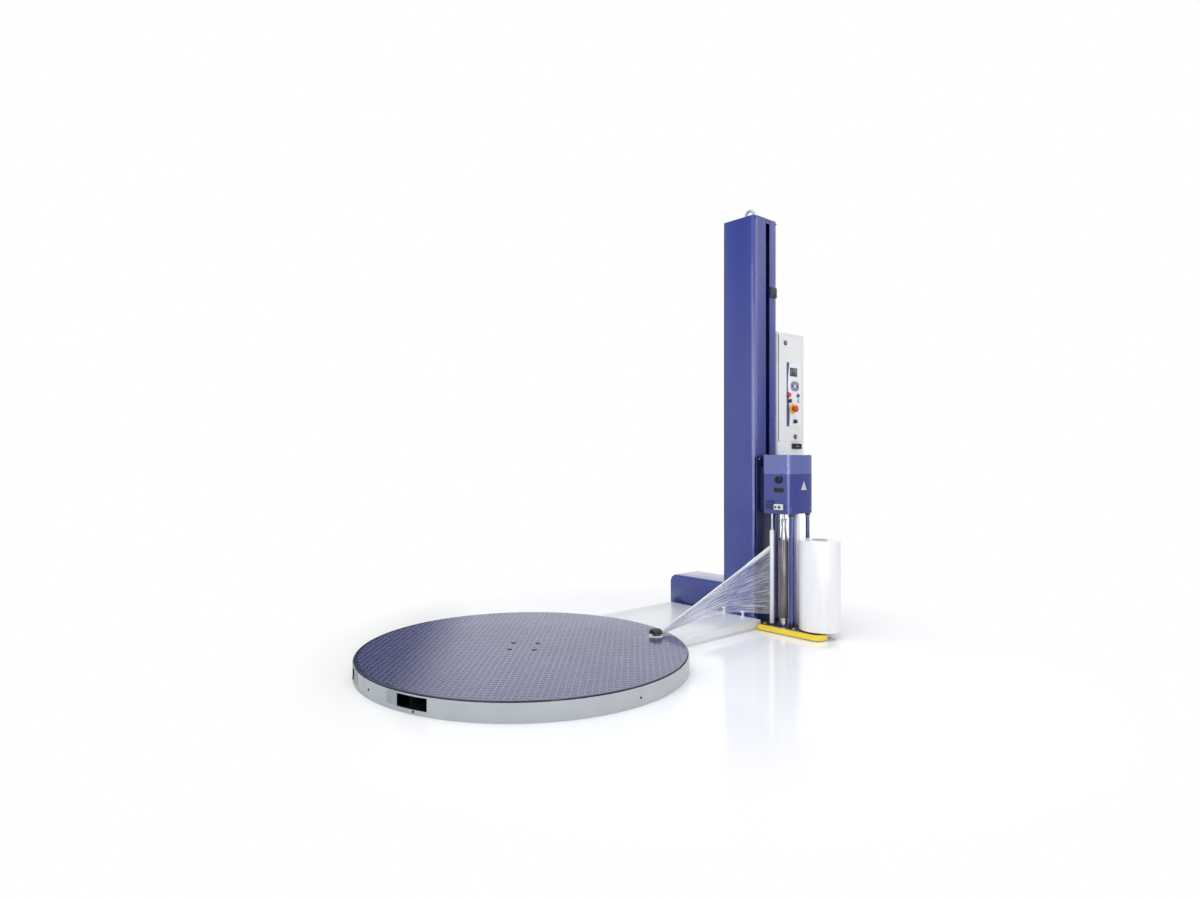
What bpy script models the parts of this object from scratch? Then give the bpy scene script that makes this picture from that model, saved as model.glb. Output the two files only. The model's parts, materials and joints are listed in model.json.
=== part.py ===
"""Turntable pallet wrapper, in metres, +Z up.

The origin is on the floor under the turntable's centre. +X points from the turntable to the mast, and the
film carriage hangs on the mast's -Y face.
"""

import math

import bmesh
import bpy
from mathutils import Matrix, Vector

# Fits
SEAT = 0.0003  # between pieces that rest on each other
RUN = 0.0005  # between a turning or sliding piece and its seat
ROUND_STEPS = 20
SMALL_STEPS = 12
LARGE_STEPS = 96

# Turntable and its ring
DISC_RADIUS = 0.750
DISC_TOP = 0.080
DISC_THICKNESS = 0.008
DISC_BOLT_CIRCLE = 0.080
DISC_BOLT_RADIUS = 0.006
RING_GAP = 0.0025
RING_WALL = 0.004
RING_TOP = 0.0735
FORK_POCKET_NEAR = 0.187  # distance of a pocket's inner side from the X axis
FORK_POCKET_WIDTH = 0.141
FORK_POCKET_LOW = 0.018
FORK_POCKET_HIGH = 0.068
FORK_TUNNEL_WALL = 0.003
FORK_TUNNEL_END = 0.250

# Base
PLATE = 0.010
ARM_TOP = 0.0485
ARM_TUCK = 0.095  # how far the arm's cover reaches in under the disc
ARM_NEAR = -0.302
ARM_FAR = 0.369
ARM_WALL = 0.003
FOOT_STAND = 0.004  # how far the foot stands out from the mast
FOOT_WALL = 0.006

# Turntable bearing, rollers and chain drive
PIVOT_RADIUS = 0.025
PIVOT_BOSS_RADIUS = 0.045
PIVOT_BOSS_TOP = 0.024
PIVOT_TOP = 0.062
HUB_FLANGE_RADIUS = 0.105
HUB_FLANGE = 0.010
HUB_SHOULDER_RADIUS = 0.060
HUB_NECK_RADIUS = 0.050
SPROCKET_RADIUS = 0.120
SPROCKET_TEETH = 36
SPROCKET_LOW = 0.030
SPROCKET_THICKNESS = 0.006
MOTOR_SPROCKET_TEETH = 10
TOOTH_DEPTH = 0.004
CHAIN_THICKNESS = 0.006
CHAIN_WIDTH = 0.014
DRIVE_X = 1.527
DRIVE_Y = 0.170
DRIVE_SHAFT_RADIUS = 0.012
DRIVE_SHAFT_REACH = 0.029  # into the gearbox
GEARBOX_HALF = 0.045
GEARBOX_HEIGHT = 0.100
DRIVE_MOTOR_RADIUS = 0.048
DRIVE_MOTOR_Z = 0.062  # above the gearbox's underside
DRIVE_MOTOR_START = 0.030  # from the shaft, along Y
DRIVE_MOTOR_END = 0.180
SUPPORT_RADIUS = 0.620  # circle that the support rollers run on
SUPPORT_ANGLES = (45, 135, 225, 315)
SUPPORT_ROLLER_RADIUS = 0.024
SUPPORT_ROLLER_WIDTH = 0.030
SUPPORT_ROLLER_EDGE = 0.002
SUPPORT_AXLE_RADIUS = 0.006
SUPPORT_BRACKET_WALL = 0.005
SUPPORT_BRACKET_HALF = 0.018
SUPPORT_BRACKET_RISE = 0.012  # above the axle

# Film clamp on the disc
CLAMP_X = 0.606
CLAMP_Y = -0.264
CLAMP_WASHER_RADIUS = 0.036
CLAMP_WASHER = 0.004
CLAMP_KNOB_RADIUS = 0.034
CLAMP_KNOB_HEIGHT = 0.030
CLAMP_STEM_RADIUS = 0.005
CLAMP_STEM_REACH = 0.002  # below the disc, so that a raised knob stays in its hole

# Mast
MAST_X = 1.413
MAST_DEPTH = 0.227
MAST_NEAR = -0.258
MAST_WIDTH = 0.224
MAST_TOP = 2.324
MAST_WALL = 0.004
MAST_CORNER = 0.024
CAP = 0.004
SLOT_OFFSET = 0.130  # from the mast's front to the slot's middle
SLOT_WIDTH = 0.038
SLOT_MARGIN = 0.027  # from the mast's top down to the slot
RAIL = 0.004
RAIL_LOW = 0.350
EYE_RADIUS = 0.026
EYE_WIRE = 0.009
EYE_HEIGHT = 0.045
EYE_COLLAR_RADIUS = 0.018
EYE_COLLAR_HEIGHT = 0.022

# Motor cover beside the mast
COVER_FAR = 0.378
COVER_TOP = 0.224
COVER_WALL = 0.0025
COVER_CORNER = 0.012
COVER_ROUND = 0.030

# Lift drive inside the mast
PULLEY_RADIUS = 0.042
PULLEY_DEPTH = 0.118  # from the mast's slotted face to the pulleys' axes
PULLEY_WIDTH = 0.027
PULLEY_LOW_Z = 0.300
PULLEY_MARGIN = 0.084  # from the mast's top down to the upper pulley's axis
PULLEY_AXLE_RADIUS = 0.007
PULLEY_LIP = 0.0015
LIFT_BOX_GAP = 0.018  # from the lower pulley
LIFT_BOX_HALF_Y = 0.040
LIFT_BOX_HALF_Z = 0.045
LIFT_MOTOR_RADIUS = 0.028
LIFT_SHAFT_SEAT = 0.020
BELT_THICKNESS = 0.003
BELT_WIDTH = 0.025
GUIDE_WHEEL_RADIUS = 0.018
GUIDE_WHEEL_LOW_Z = 0.680
GUIDE_WHEEL_HIGH_Z = 0.880
GUIDE_WHEEL_INNER = 0.023  # from the slot's middle to a wheel's near side
GUIDE_WHEEL_OUTER = 0.046
GUIDE_AXLE_RADIUS = 0.006
LIMIT_SWITCH_OFFSET = 0.150  # from the mast's front
LIMIT_SWITCH_DEPTH = 0.008
LIMIT_SWITCH_WIDTH = 0.060
LIMIT_SWITCH_LOW = 1.878
LIMIT_SWITCH_HEIGHT = 0.058

# Control cabinet
CABINET_DEPTH = 0.285  # along X, from the mast
CABINET_STAND = 0.004  # how far the cabinet stands out from the mast
CABINET_WIDTH = 0.200  # along Y
CABINET_LOW = 0.720
CABINET_HIGH = 1.690
CABINET_WALL = 0.003
CABINET_CORNER = 0.025
DOOR_MARGIN = 0.010
DOOR_WIDTH = 0.231
DOOR_LOW = 1.050
DOOR_TOP_MARGIN = 0.015
DOOR_PLATE = 0.003
DOOR_GAP = 0.0007
PANEL_MARGIN = 0.077  # from the door's edge
PANEL_WIDTH = 0.148
PANEL_LOW = 1.139
PANEL_HIGH = 1.517
PANEL_PLATE = 0.003
STEM_REACH = 0.004  # how far the controls' stems go through the panel
BUTTON_GAP = 0.004
SOCKET_OFFSET = 0.129  # from the door's edge
SOCKET_WIDTH = 0.085
SOCKET_LOW = 1.005
SOCKET_HEIGHT = 0.032
SOCKET_DEPTH = 0.018
# Places along X on the panel are measured from its edge
DISPLAY_X = 0.068
DISPLAY_Z = 1.462
DISPLAY_WIDTH = 0.074
DISPLAY_HEIGHT = 0.050
KEYPAD_X = 0.081
KEYPAD_Z = 1.379
KEYPAD_WIDTH = 0.086
KEYPAD_HEIGHT = 0.058
CONTROL_PLATE = 0.002  # thickness of the display and the keypad
ESTOP_X = 0.059
ESTOP_Z = 1.243
ESTOP_COLLAR_RADIUS = 0.030
ESTOP_HEAD_RADIUS = 0.021
ESTOP_STEM_RADIUS = 0.010
ESTOP_COLLAR_HEIGHT = 0.006
ESTOP_TRAVEL_GAP = 0.009
ESTOP_HEAD_HEIGHT = 0.017
# name, X on the panel, Z, cap radius, how far it stands out, stem radius
PANEL_BUTTONS = (
    ("red_button", 0.014, 1.324, 0.014, 0.012, 0.009),
    ("selector_switch", 0.026, 1.289, 0.011, 0.016, 0.007),
    ("reset_button", 0.114, 1.324, 0.010, 0.009, 0.006),
    ("start_button", 0.122, 1.293, 0.010, 0.009, 0.006),
    ("speed_knob", 0.078, 1.169, 0.012, 0.017, 0.006),
)
# name, X from the door's edge, Z
DOOR_LOCKS = (("door_lock_upper", 0.062, 1.628), ("door_lock_lower", 0.166, 1.078))
LOCK_RADIUS = 0.014
LOCK_STAND = 0.006
LOCK_STEM_RADIUS = 0.008
LOCK_TONGUE = 0.022
LOCK_TONGUE_HALF = 0.006
LOCK_TONGUE_THICKNESS = 0.004
LOCK_STEM_REACH = 0.008

# Film carriage
BACKPLATE = 0.006
BACKPLATE_STAND = 0.017  # from the mast to the plate's outer face
BACKPLATE_SIDE = 0.0035  # how far its edges stay inside the mast's
ARM_GAP = 0.004  # from the arm to the carriage's pieces beside it
BLOCK_LOW = 0.660
BLOCK_HIGH = 0.900
BLOCK_INSET = 0.030  # from the head's sides
NECK_HALF = 0.012
HEAD_X = 1.424
HEAD_DEPTH = 0.239
HEAD_FAR = -0.303
HEAD_WIDTH = 0.172
HEAD_LOW = 0.644
LID_SPLIT = 0.862
HEAD_HIGH = 0.968
HEAD_WALL = 0.0025
HEAD_FLOOR = 0.004
HEAD_CORNER = 0.018
FLOOR_LOW = 0.020
FLOOR_HIGH = 0.030
FLOOR_BACK = 1.658
FLOOR_ROLL_DEPTH = 0.200
FLOOR_BUMPER_GAP = 0.003
FLOOR_STEP_NEAR = -0.490
# name, X, Y, radius
POSTS = (
    ("inner_post", 1.530, -0.322, 0.0128),
    ("front_post", 1.475, -0.460, 0.0145),
    ("rear_post", 1.645, -0.452, 0.0105),
)
# name, X, Y, roller radius, roller low, roller high
EXIT_ROLLER = ("exit_roller", 1.445, -0.354, 0.0125, 0.035, 0.551)
IDLE_ROLLER = ("idle_roller", 1.532, -0.4555, 0.0145, 0.035, 0.630)
STRETCH_FRONT = ("stretch_roller_front", 1.468, -0.4135, 0.0273, 0.072, 0.499)
STRETCH_REAR = ("stretch_roller_rear", 1.545, -0.3655, 0.0273, 0.072, 0.499)
ROLLERS = (EXIT_ROLLER, IDLE_ROLLER, STRETCH_FRONT, STRETCH_REAR)
ROLLER_SHAFT_RADIUS = 0.006
ROLLER_SHAFT_TOP = 0.010  # above the head's underside
ROLLER_EDGE = 0.001
STRETCH_NECK = 0.100
SHAFT_HOLE_GAP = 0.0004
STRETCH_TEETH_FRONT = 18
STRETCH_TEETH_REAR = 26
GEAR_WAVE = 0.0011
GEAR_GAP = 0.0006
GEAR_LOW = 0.664
GEAR_THICKNESS = 0.012
STRETCH_MOTOR_RADIUS = 0.042
MOTOR_PLATE_LOW = 0.700
MOTOR_PLATE = 0.004
MOTOR_TOP = 0.850
ROLL_X = 1.500
ROLL_Y = -0.6155
ROLL_RADIUS = 0.1065
ROLL_LOW = 0.0385
ROLL_HEIGHT = 0.4755
CORE_RADIUS = 0.038
CORE_WALL = 0.0045
MANDREL_FLANGE_RADIUS = 0.055
MANDREL_STUB_RADIUS = 0.010
MANDREL_TAPER = 0.020
MANDREL_TOP = 0.300
PHOTOCELL_Y = -0.417
PHOTOCELL_Z = 0.683
PHOTOCELL_WIDTH = 0.052
PHOTOCELL_HEIGHT = 0.032
PHOTOCELL_DEPTH = 0.020
HEAD_KNOB_Y = -0.412
HEAD_KNOB_Z = 0.832
HEAD_KNOB_RADIUS = 0.020
HEAD_KNOB_STAND = 0.014
HEAD_KNOB_STEM_RADIUS = 0.006
BUMPER_WIDTH = 0.028
BUMPER_LOW = 0.004
BUMPER_HIGH = 0.030
BUMPER_BEND = 0.034
BUMPER_RETURN = 0.030
BUMPER_X = 1.386
BUMPER_NEAR = -0.676
BUMPER_PIN_X = 1.425
BUMPER_PINS = (-0.322, -0.505)
BUMPER_PIN_RADIUS = 0.004
BUMPER_HEAD_RADIUS = 0.008
BUMPER_HEAD = 0.004
BUMPER_TAB_HALF = 0.012
BUMPER_TAB_TOP = 0.0085

# Film web from the exit roller to the clamp
WEB_LOW = 0.110
WEB_HIGH = 0.468
WEB_THICKNESS = 0.0012
WEB_GAP = 0.0005
WEB_END_LOW = 0.088
WEB_END_HIGH = 0.104

# Worked out from the values above
DISC_LOW = DISC_TOP - DISC_THICKNESS
RING_INNER = DISC_RADIUS + RING_GAP
RING_OUTER = RING_INNER + RING_WALL
ARM_START = DISC_RADIUS - ARM_TUCK
MAST_BACK = MAST_X + MAST_DEPTH
MAST_FAR = MAST_NEAR + MAST_WIDTH
SLOT_X = MAST_X + SLOT_OFFSET
SLOT_TOP = MAST_TOP - SLOT_MARGIN
PULLEY_HIGH_Z = MAST_TOP - PULLEY_MARGIN
PULLEY_Y = MAST_NEAR + PULLEY_DEPTH
CABINET_NEAR = MAST_NEAR - CABINET_STAND
FOOT_NEAR = MAST_NEAR - FOOT_STAND
DOOR_X = MAST_BACK + DOOR_MARGIN
DOOR_HIGH = CABINET_HIGH - DOOR_TOP_MARGIN
PANEL_X = DOOR_X + PANEL_MARGIN
BACKPLATE_NEAR = MAST_NEAR - BACKPLATE_STAND
BASE_SEAT = PLATE + SEAT
FOOT_SEAT = ARM_TOP + SEAT
SPROCKET_PITCH_RADIUS = SPROCKET_RADIUS - TOOTH_DEPTH / 2
MOTOR_SPROCKET_RADIUS = SPROCKET_PITCH_RADIUS * MOTOR_SPROCKET_TEETH / SPROCKET_TEETH + TOOTH_DEPTH / 2
SUPPORT_ROLLER_Z = DISC_LOW - SEAT - SUPPORT_ROLLER_RADIUS
BELT_OUTER = PULLEY_RADIUS + RUN + BELT_THICKNESS
LIFT_BOX_X = SLOT_X + PULLEY_WIDTH / 2 + LIFT_BOX_GAP
GUIDE_WHEEL_Y = MAST_NEAR + MAST_WALL + RUN + GUIDE_WHEEL_RADIUS
RAIL_FRONT_Y = GUIDE_WHEEL_Y + GUIDE_WHEEL_RADIUS + RUN
NECK_TIP_Y = PULLEY_Y - BELT_OUTER - RUN
PANEL_FACE = CABINET_NEAR - PANEL_PLATE + 0.001
HEAD_NEAR = HEAD_FAR - HEAD_WIDTH
BUMPER_START = ARM_NEAR - ARM_GAP
FLOOR_X = BUMPER_X + BUMPER_WIDTH / 2 + FLOOR_BUMPER_GAP
FLOOR_NEAR = BUMPER_NEAR + BUMPER_WIDTH / 2 + FLOOR_BUMPER_GAP
COLORS = {
    "mast blue": (0.060, 0.080, 0.300, 0.45, 0.0),
    "navy": (0.050, 0.060, 0.120, 0.40, 0.3),
    "light grey": (0.700, 0.720, 0.720, 0.45, 0.0),
    "galvanised": (0.550, 0.560, 0.580, 0.35, 0.9),
    "black": (0.015, 0.015, 0.018, 0.50, 0.0),
    "dark steel": (0.120, 0.115, 0.120, 0.35, 0.8),
    "steel": (0.500, 0.500, 0.520, 0.30, 0.9),
    "white": (0.850, 0.850, 0.870, 0.45, 0.0),
    "film": (0.900, 0.900, 0.930, 0.15, 0.0),
    "cardboard": (0.450, 0.330, 0.200, 0.80, 0.0),
    "yellow": (0.900, 0.750, 0.050, 0.45, 0.0),
    "red": (0.700, 0.030, 0.020, 0.35, 0.0),
    "grey": (0.300, 0.300, 0.320, 0.50, 0.0),
}


# Scene helpers


def clear_scene():
    for obj in list(bpy.data.objects):
        bpy.data.objects.remove(obj, do_unlink=True)


def new_collection(name, hidden=False):
    collection = bpy.data.collections.new(name)
    bpy.context.scene.collection.children.link(collection)
    collection.hide_render = hidden
    return collection


def material(name):
    found = bpy.data.materials.get(name)
    if found:
        return found
    made = bpy.data.materials.new(name)
    made.use_nodes = True
    shader = made.node_tree.nodes["Principled BSDF"]
    red, green, blue, roughness, metallic = COLORS[name]
    shader.inputs["Base Color"].default_value = (red, green, blue, 1)
    shader.inputs["Roughness"].default_value = roughness
    shader.inputs["Metallic"].default_value = metallic
    made.diffuse_color = (red, green, blue, 1)
    return made


def finish(obj, color):
    """Puts a piece in the object's collection, with its material."""
    PIECES.objects.link(obj)
    obj.data.materials.append(material(color))
    return obj


def helper(obj):
    """Makes an object a cutter or an added shape, which isn't a piece itself."""
    HELPERS.objects.link(obj)
    obj.hide_render = True
    obj.display_type = "WIRE"
    return obj


def mesh_object(name, bm, location=(0, 0, 0)):
    mesh = bpy.data.meshes.new(name)
    bmesh.ops.recalc_face_normals(bm, faces=bm.faces)
    bm.to_mesh(mesh)
    bm.free()
    obj = bpy.data.objects.new(name, mesh)
    obj.location = location
    return obj


def smooth(obj, angle=35):
    obj.data.shade_smooth()
    obj.data.set_sharp_from_angle(angle=math.radians(angle))
    return obj


# Shapes


def box_shape(name, low, high, edge=0.0, along=None, segments=3):
    """A box between two corners, with its edges rounded: all of them, or those that run along one axis."""
    low, high = Vector(low), Vector(high)
    bm = bmesh.new()
    bmesh.ops.create_cube(bm, size=1.0)
    bmesh.ops.scale(bm, vec=high - low, verts=bm.verts)
    if edge:
        chosen = bm.edges[:]
        if along is not None:
            chosen = [e for e in chosen if abs(e.verts[0].co[along] - e.verts[1].co[along]) > 1e-6]
        bmesh.ops.bevel(bm, geom=chosen, offset=edge, segments=segments, profile=0.5, affect="EDGES")
    return mesh_object(name, bm, (low + high) / 2)


def cylinder_shape(name, center, radius, low, high, axis="Z", steps=ROUND_STEPS):
    """A cylinder along an axis. center holds its place, and low and high its ends along the axis."""
    bm = bmesh.new()
    bmesh.ops.create_cone(
        bm, cap_ends=True, segments=steps, radius1=radius, radius2=radius, depth=high - low
    )
    place = Vector(center)
    if axis == "X":
        bmesh.ops.rotate(bm, verts=bm.verts, matrix=Matrix.Rotation(math.pi / 2, 3, "Y"))
        place.x = (low + high) / 2
    elif axis == "Y":
        bmesh.ops.rotate(bm, verts=bm.verts, matrix=Matrix.Rotation(math.pi / 2, 3, "X"))
        place.y = (low + high) / 2
    else:
        place.z = (low + high) / 2
    return mesh_object(name, bm, place)


def turned_shape(name, center, profile, axis="Z", steps=ROUND_STEPS, closed=False):
    """A profile of (radius, place along the axis), from top to bottom, turned round its axis."""
    mesh = bpy.data.meshes.new(name)
    count = len(profile)
    edges = [(i, i + 1) for i in range(count - 1)]
    if closed:
        edges.append((count - 1, 0))
    mesh.from_pydata([(radius, 0, height) for radius, height in profile], edges, [])
    obj = bpy.data.objects.new(name, mesh)
    obj.location = center
    if axis == "X":
        obj.rotation_euler = (0, math.pi / 2, 0)
    elif axis == "-Y":
        obj.rotation_euler = (math.pi / 2, 0, 0)
    screw = obj.modifiers.new("Turn", "SCREW")
    screw.steps = screw.render_steps = steps
    screw.use_merge_vertices = True
    screw.merge_threshold = 0.00001
    screw.use_smooth_shade = True
    return obj


def outline_shape(name, loops, low, high):
    """A flat outline, with any holes as further loops, between two heights."""
    curve = bpy.data.curves.new(name, "CURVE")
    curve.dimensions = "2D"
    curve.fill_mode = "BOTH"
    curve.extrude = (high - low) / 2
    for loop in loops:
        spline = curve.splines.new("POLY")
        spline.points.add(len(loop) - 1)
        for point, (x, y) in zip(spline.points, loop):
            point.co = (x, y, 0, 1)
        spline.use_cyclic_u = True
    obj = bpy.data.objects.new(name, curve)
    obj.location.z = (low + high) / 2
    return obj


def as_mesh(obj):
    """The same shape as a mesh, so that a modifier can join or cut it."""
    HELPERS.objects.link(obj)
    bpy.context.view_layer.update()
    graph = bpy.context.evaluated_depsgraph_get()
    mesh = bpy.data.meshes.new_from_object(obj.evaluated_get(graph))
    bm = bmesh.new()
    bm.from_mesh(mesh)
    bmesh.ops.remove_doubles(bm, verts=bm.verts, dist=0.00001)
    bmesh.ops.recalc_face_normals(bm, faces=bm.faces)
    bm.to_mesh(mesh)
    bm.free()
    made = bpy.data.objects.new(obj.name, mesh)
    made.matrix_world = obj.matrix_world.copy()
    name = obj.name
    bpy.data.objects.remove(obj, do_unlink=True)
    made.name = name
    return made


def combine(obj, other, operation):
    helper(other)
    modifier = obj.modifiers.new(f"{operation.title()} {other.name}", "BOOLEAN")
    modifier.operation = operation
    modifier.object = other
    modifier.solver = "EXACT"
    return obj


def cut(obj, *others):
    for other in others:
        combine(obj, other, "DIFFERENCE")
    return obj


def join(obj, *others):
    for other in others:
        combine(obj, other, "UNION")
    return obj


def trim(obj, other):
    """Keeps only what is inside the other shape."""
    return combine(obj, other, "INTERSECT")


def arc(center, radius, start, end, steps):
    """Points along an arc, from one angle to the other, in degrees."""
    for i in range(steps + 1):
        angle = math.radians(start + (end - start) * i / steps)
        yield center[0] + radius * math.cos(angle), center[1] + radius * math.sin(angle)


def loop_outline(first, first_radius, second, second_radius, steps=16):
    """The outline of a belt round two wheels, with no chord inside their radii."""
    run = Vector(second) - Vector(first)
    heading = math.degrees(math.atan2(run.y, run.x))
    lean = math.degrees(math.acos((first_radius - second_radius) / run.length))
    first_radius /= math.cos(math.radians(180 - lean) / steps)
    second_radius /= math.cos(math.radians(lean) / steps)
    points = list(arc(second, second_radius, heading - lean, heading + lean, steps))
    points += arc(first, first_radius, heading + lean, heading + 360 - lean, steps)
    return points


def toothed_outline(center, radius, teeth, depth):
    """Straight-sided teeth, with their tips at the radius."""
    points = []
    for i in range(teeth):
        for share, inset in ((0.0, depth), (0.30, depth), (0.42, 0.0), (0.88, 0.0)):
            angle = 2 * math.pi * (i + share) / teeth
            reach = radius - inset
            points.append((center[0] + reach * math.cos(angle), center[1] + reach * math.sin(angle)))
    return points


def wave_outline(center, radius, teeth, phase, wave=GEAR_WAVE, steps=6):
    """Rounded gear teeth about a pitch circle. phase is the angle of a tooth's tip."""
    points = []
    for i in range(teeth * steps):
        angle = 2 * math.pi * i / (teeth * steps)
        reach = radius + wave * math.cos(teeth * (angle - phase)) - GEAR_GAP / 2
        points.append((center[0] + reach * math.cos(angle), center[1] + reach * math.sin(angle)))
    return points


def pivot(name, place):
    """An empty on a joint's axis, which its moving pieces are parented to."""
    empty = bpy.data.objects.new(name, None)
    empty.empty_display_size = 0.03
    empty.location = place
    PIECES.objects.link(empty)
    return empty


def carried(parent, *pieces):
    for piece in pieces:
        piece.parent = parent
        piece.location -= parent.location
    return parent


# Base


def fork_side(side):
    """The tunnel that takes one fork, joined to the base plate, and the space inside it."""
    near = FORK_POCKET_NEAR - FORK_TUNNEL_WALL
    far = FORK_POCKET_NEAR + FORK_POCKET_WIDTH + FORK_TUNNEL_WALL
    start = -math.sqrt((RING_INNER - 0.001) ** 2 - far**2)
    top = FORK_POCKET_HIGH + 0.0005
    low_y, high_y = sorted((side * near, side * far))
    tunnel = box_shape("fork_tunnel", (start, low_y, PLATE / 2), (FORK_TUNNEL_END, high_y, top))
    inside = box_shape(
        "fork_space",
        (start - 0.05, low_y + FORK_TUNNEL_WALL, PLATE + FORK_TUNNEL_WALL),
        (FORK_TUNNEL_END + 0.05, high_y - FORK_TUNNEL_WALL, top - FORK_TUNNEL_WALL),
    )
    return tunnel, inside


def roller_bracket(angle):
    """Two ears that carry one support roller's axle, turned to face the centre."""
    middle = SUPPORT_ROLLER_Z
    half = SUPPORT_ROLLER_WIDTH / 2 + RUN
    side_y = SUPPORT_BRACKET_HALF
    radius = SUPPORT_AXLE_RADIUS + RUN
    ears = []
    for side in (-1, 1):
        inner, outer = sorted((side * half, side * (half + SUPPORT_BRACKET_WALL)))
        ear = box_shape("ear", (inner, -side_y, PLATE / 2), (outer, side_y, middle + SUPPORT_BRACKET_RISE))
        low, high = inner - 0.01, outer + 0.01
        cut(ear, cylinder_shape("axle_hole", (0, 0, middle), radius, low, high, "X", SMALL_STEPS))
        ears.append(ear)
    turn = Matrix.Rotation(math.radians(angle), 4, "Z") @ Matrix.Translation((SUPPORT_RADIUS, 0, 0))
    for ear in ears:
        for piece in (ear, ear.modifiers[0].object):
            piece.matrix_world = turn @ Matrix.Translation(piece.location)
    return ears


def base_plate():
    """The floor plate, with the fork tunnels, the roller brackets and the pivot welded to it."""
    plate = cylinder_shape("base_plate", (0, 0, 0), RING_INNER - SEAT, 0, PLATE, steps=LARGE_STEPS)
    join(
        plate,
        box_shape("arm_plate", (ARM_START - 0.2, ARM_NEAR, 0), (MAST_X - SEAT, ARM_FAR, PLATE)),
        box_shape("foot_plate", (MAST_X - 0.1, FOOT_NEAR, 0), (MAST_BACK, ARM_FAR, PLATE)),
        turned_shape(
            "pivot",
            (0, 0, 0),
            (
                (0, PIVOT_TOP),
                (PIVOT_RADIUS, PIVOT_TOP),
                (PIVOT_RADIUS, PIVOT_BOSS_TOP),
                (PIVOT_BOSS_RADIUS, PIVOT_BOSS_TOP),
                (PIVOT_BOSS_RADIUS, PLATE / 2),
                (0, PLATE / 2),
            ),
        ),
    )
    for side in (-1, 1):
        tunnel, inside = fork_side(side)
        join(plate, tunnel)
        cut(plate, inside)
    for angle in SUPPORT_ANGLES:
        join(plate, *roller_bracket(angle))
    return finish(plate, "light grey")


def base_ring():
    """The skirt round the turntable, open for the forks and for the arm."""
    ring = turned_shape(
        "base_ring",
        (0, 0, 0),
        ((RING_OUTER, RING_TOP), (RING_OUTER, 0), (RING_INNER, 0), (RING_INNER, RING_TOP)),
        steps=LARGE_STEPS,
        closed=True,
    )
    cut(
        ring,
        box_shape(
            "arm_gap",
            (ARM_START - 0.2, ARM_NEAR - RUN, -0.01),
            (RING_OUTER + 0.1, ARM_FAR + RUN, ARM_TOP + RUN),
        ),
    )
    for side in (-1, 1):
        low_y, high_y = sorted((side * FORK_POCKET_NEAR, side * (FORK_POCKET_NEAR + FORK_POCKET_WIDTH)))
        low, high = (-RING_OUTER - 0.1, low_y, FORK_POCKET_LOW), (-ARM_START, high_y, FORK_POCKET_HIGH)
        cut(ring, box_shape("fork_mouth", low, high))
    return finish(smooth(ring), "light grey")


def arm_cover():
    """The channel over the chain, from under the disc to the mast."""
    cover = box_shape(
        "arm_cover", (ARM_START, ARM_NEAR, BASE_SEAT), (MAST_X - SEAT, ARM_FAR, ARM_TOP), 0.002, 0, 2
    )
    cut(
        cover,
        box_shape(
            "arm_space",
            (ARM_START - 0.1, ARM_NEAR + ARM_WALL, -0.1),
            (MAST_X + 0.1, ARM_FAR - ARM_WALL, ARM_TOP - ARM_WALL),
        ),
    )
    return finish(cover, "light grey")


def mast_foot():
    """The block that the mast and the motor cover stand on, hollow for the chain."""
    foot = box_shape("mast_foot", (MAST_X, FOOT_NEAR, BASE_SEAT), (MAST_BACK, ARM_FAR, ARM_TOP), 0.002, 2, 2)
    hole_radius = DRIVE_SHAFT_RADIUS + 0.003
    cut(
        foot,
        box_shape(
            "foot_space",
            (MAST_X - 0.05, FOOT_NEAR + FOOT_WALL, -0.1),
            (MAST_BACK - FOOT_WALL, ARM_FAR - FOOT_WALL, ARM_TOP - FOOT_WALL),
        ),
        cylinder_shape("shaft_hole", (DRIVE_X, DRIVE_Y, 0), hole_radius, 0.02, 0.06, steps=SMALL_STEPS),
    )
    return finish(foot, "light grey")


def motor_cover():
    """The rounded hood over the gearmotor, open underneath."""
    low = (MAST_X, MAST_FAR + SEAT, FOOT_SEAT)
    high = (MAST_BACK, COVER_FAR, COVER_TOP)
    cover = box_shape("motor_cover", low, (high[0], high[1], high[2] + 0.1), COVER_CORNER, 2, 3)
    trim(
        cover,
        box_shape("cover_outside", (low[0] - 0.1, low[1] - 0.1, low[2] - 0.3), high, COVER_ROUND, None, 5),
    )
    cut(
        cover,
        box_shape(
            "cover_space",
            (low[0] + COVER_WALL, low[1] + COVER_WALL, low[2] - 0.1),
            (high[0] - COVER_WALL, high[1] - COVER_WALL, high[2] - COVER_WALL),
            COVER_ROUND - COVER_WALL,
            None,
            5,
        ),
    )
    return finish(smooth(cover), "mast blue")


def turntable_gearmotor():
    """Gearbox with its shaft hole down, and the motor lying along Y."""
    low = FOOT_SEAT
    half = GEARBOX_HALF
    box = box_shape(
        "turntable_gearmotor",
        (DRIVE_X - half, DRIVE_Y - half, low),
        (DRIVE_X + half, DRIVE_Y + half, low + GEARBOX_HEIGHT),
        0.006,
    )
    motor = cylinder_shape(
        "motor",
        (DRIVE_X, 0, low + DRIVE_MOTOR_Z),
        DRIVE_MOTOR_RADIUS,
        DRIVE_Y + DRIVE_MOTOR_START,
        DRIVE_Y + DRIVE_MOTOR_END,
        "Y",
        SMALL_STEPS,
    )
    seat = cylinder_shape(
        "shaft_seat",
        (DRIVE_X, DRIVE_Y, 0),
        DRIVE_SHAFT_RADIUS + RUN,
        low - 0.02,
        low + DRIVE_SHAFT_REACH + 0.001,
        steps=SMALL_STEPS,
    )
    cut(join(box, motor), seat)
    return finish(box, "grey")


# Turntable drive


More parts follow.
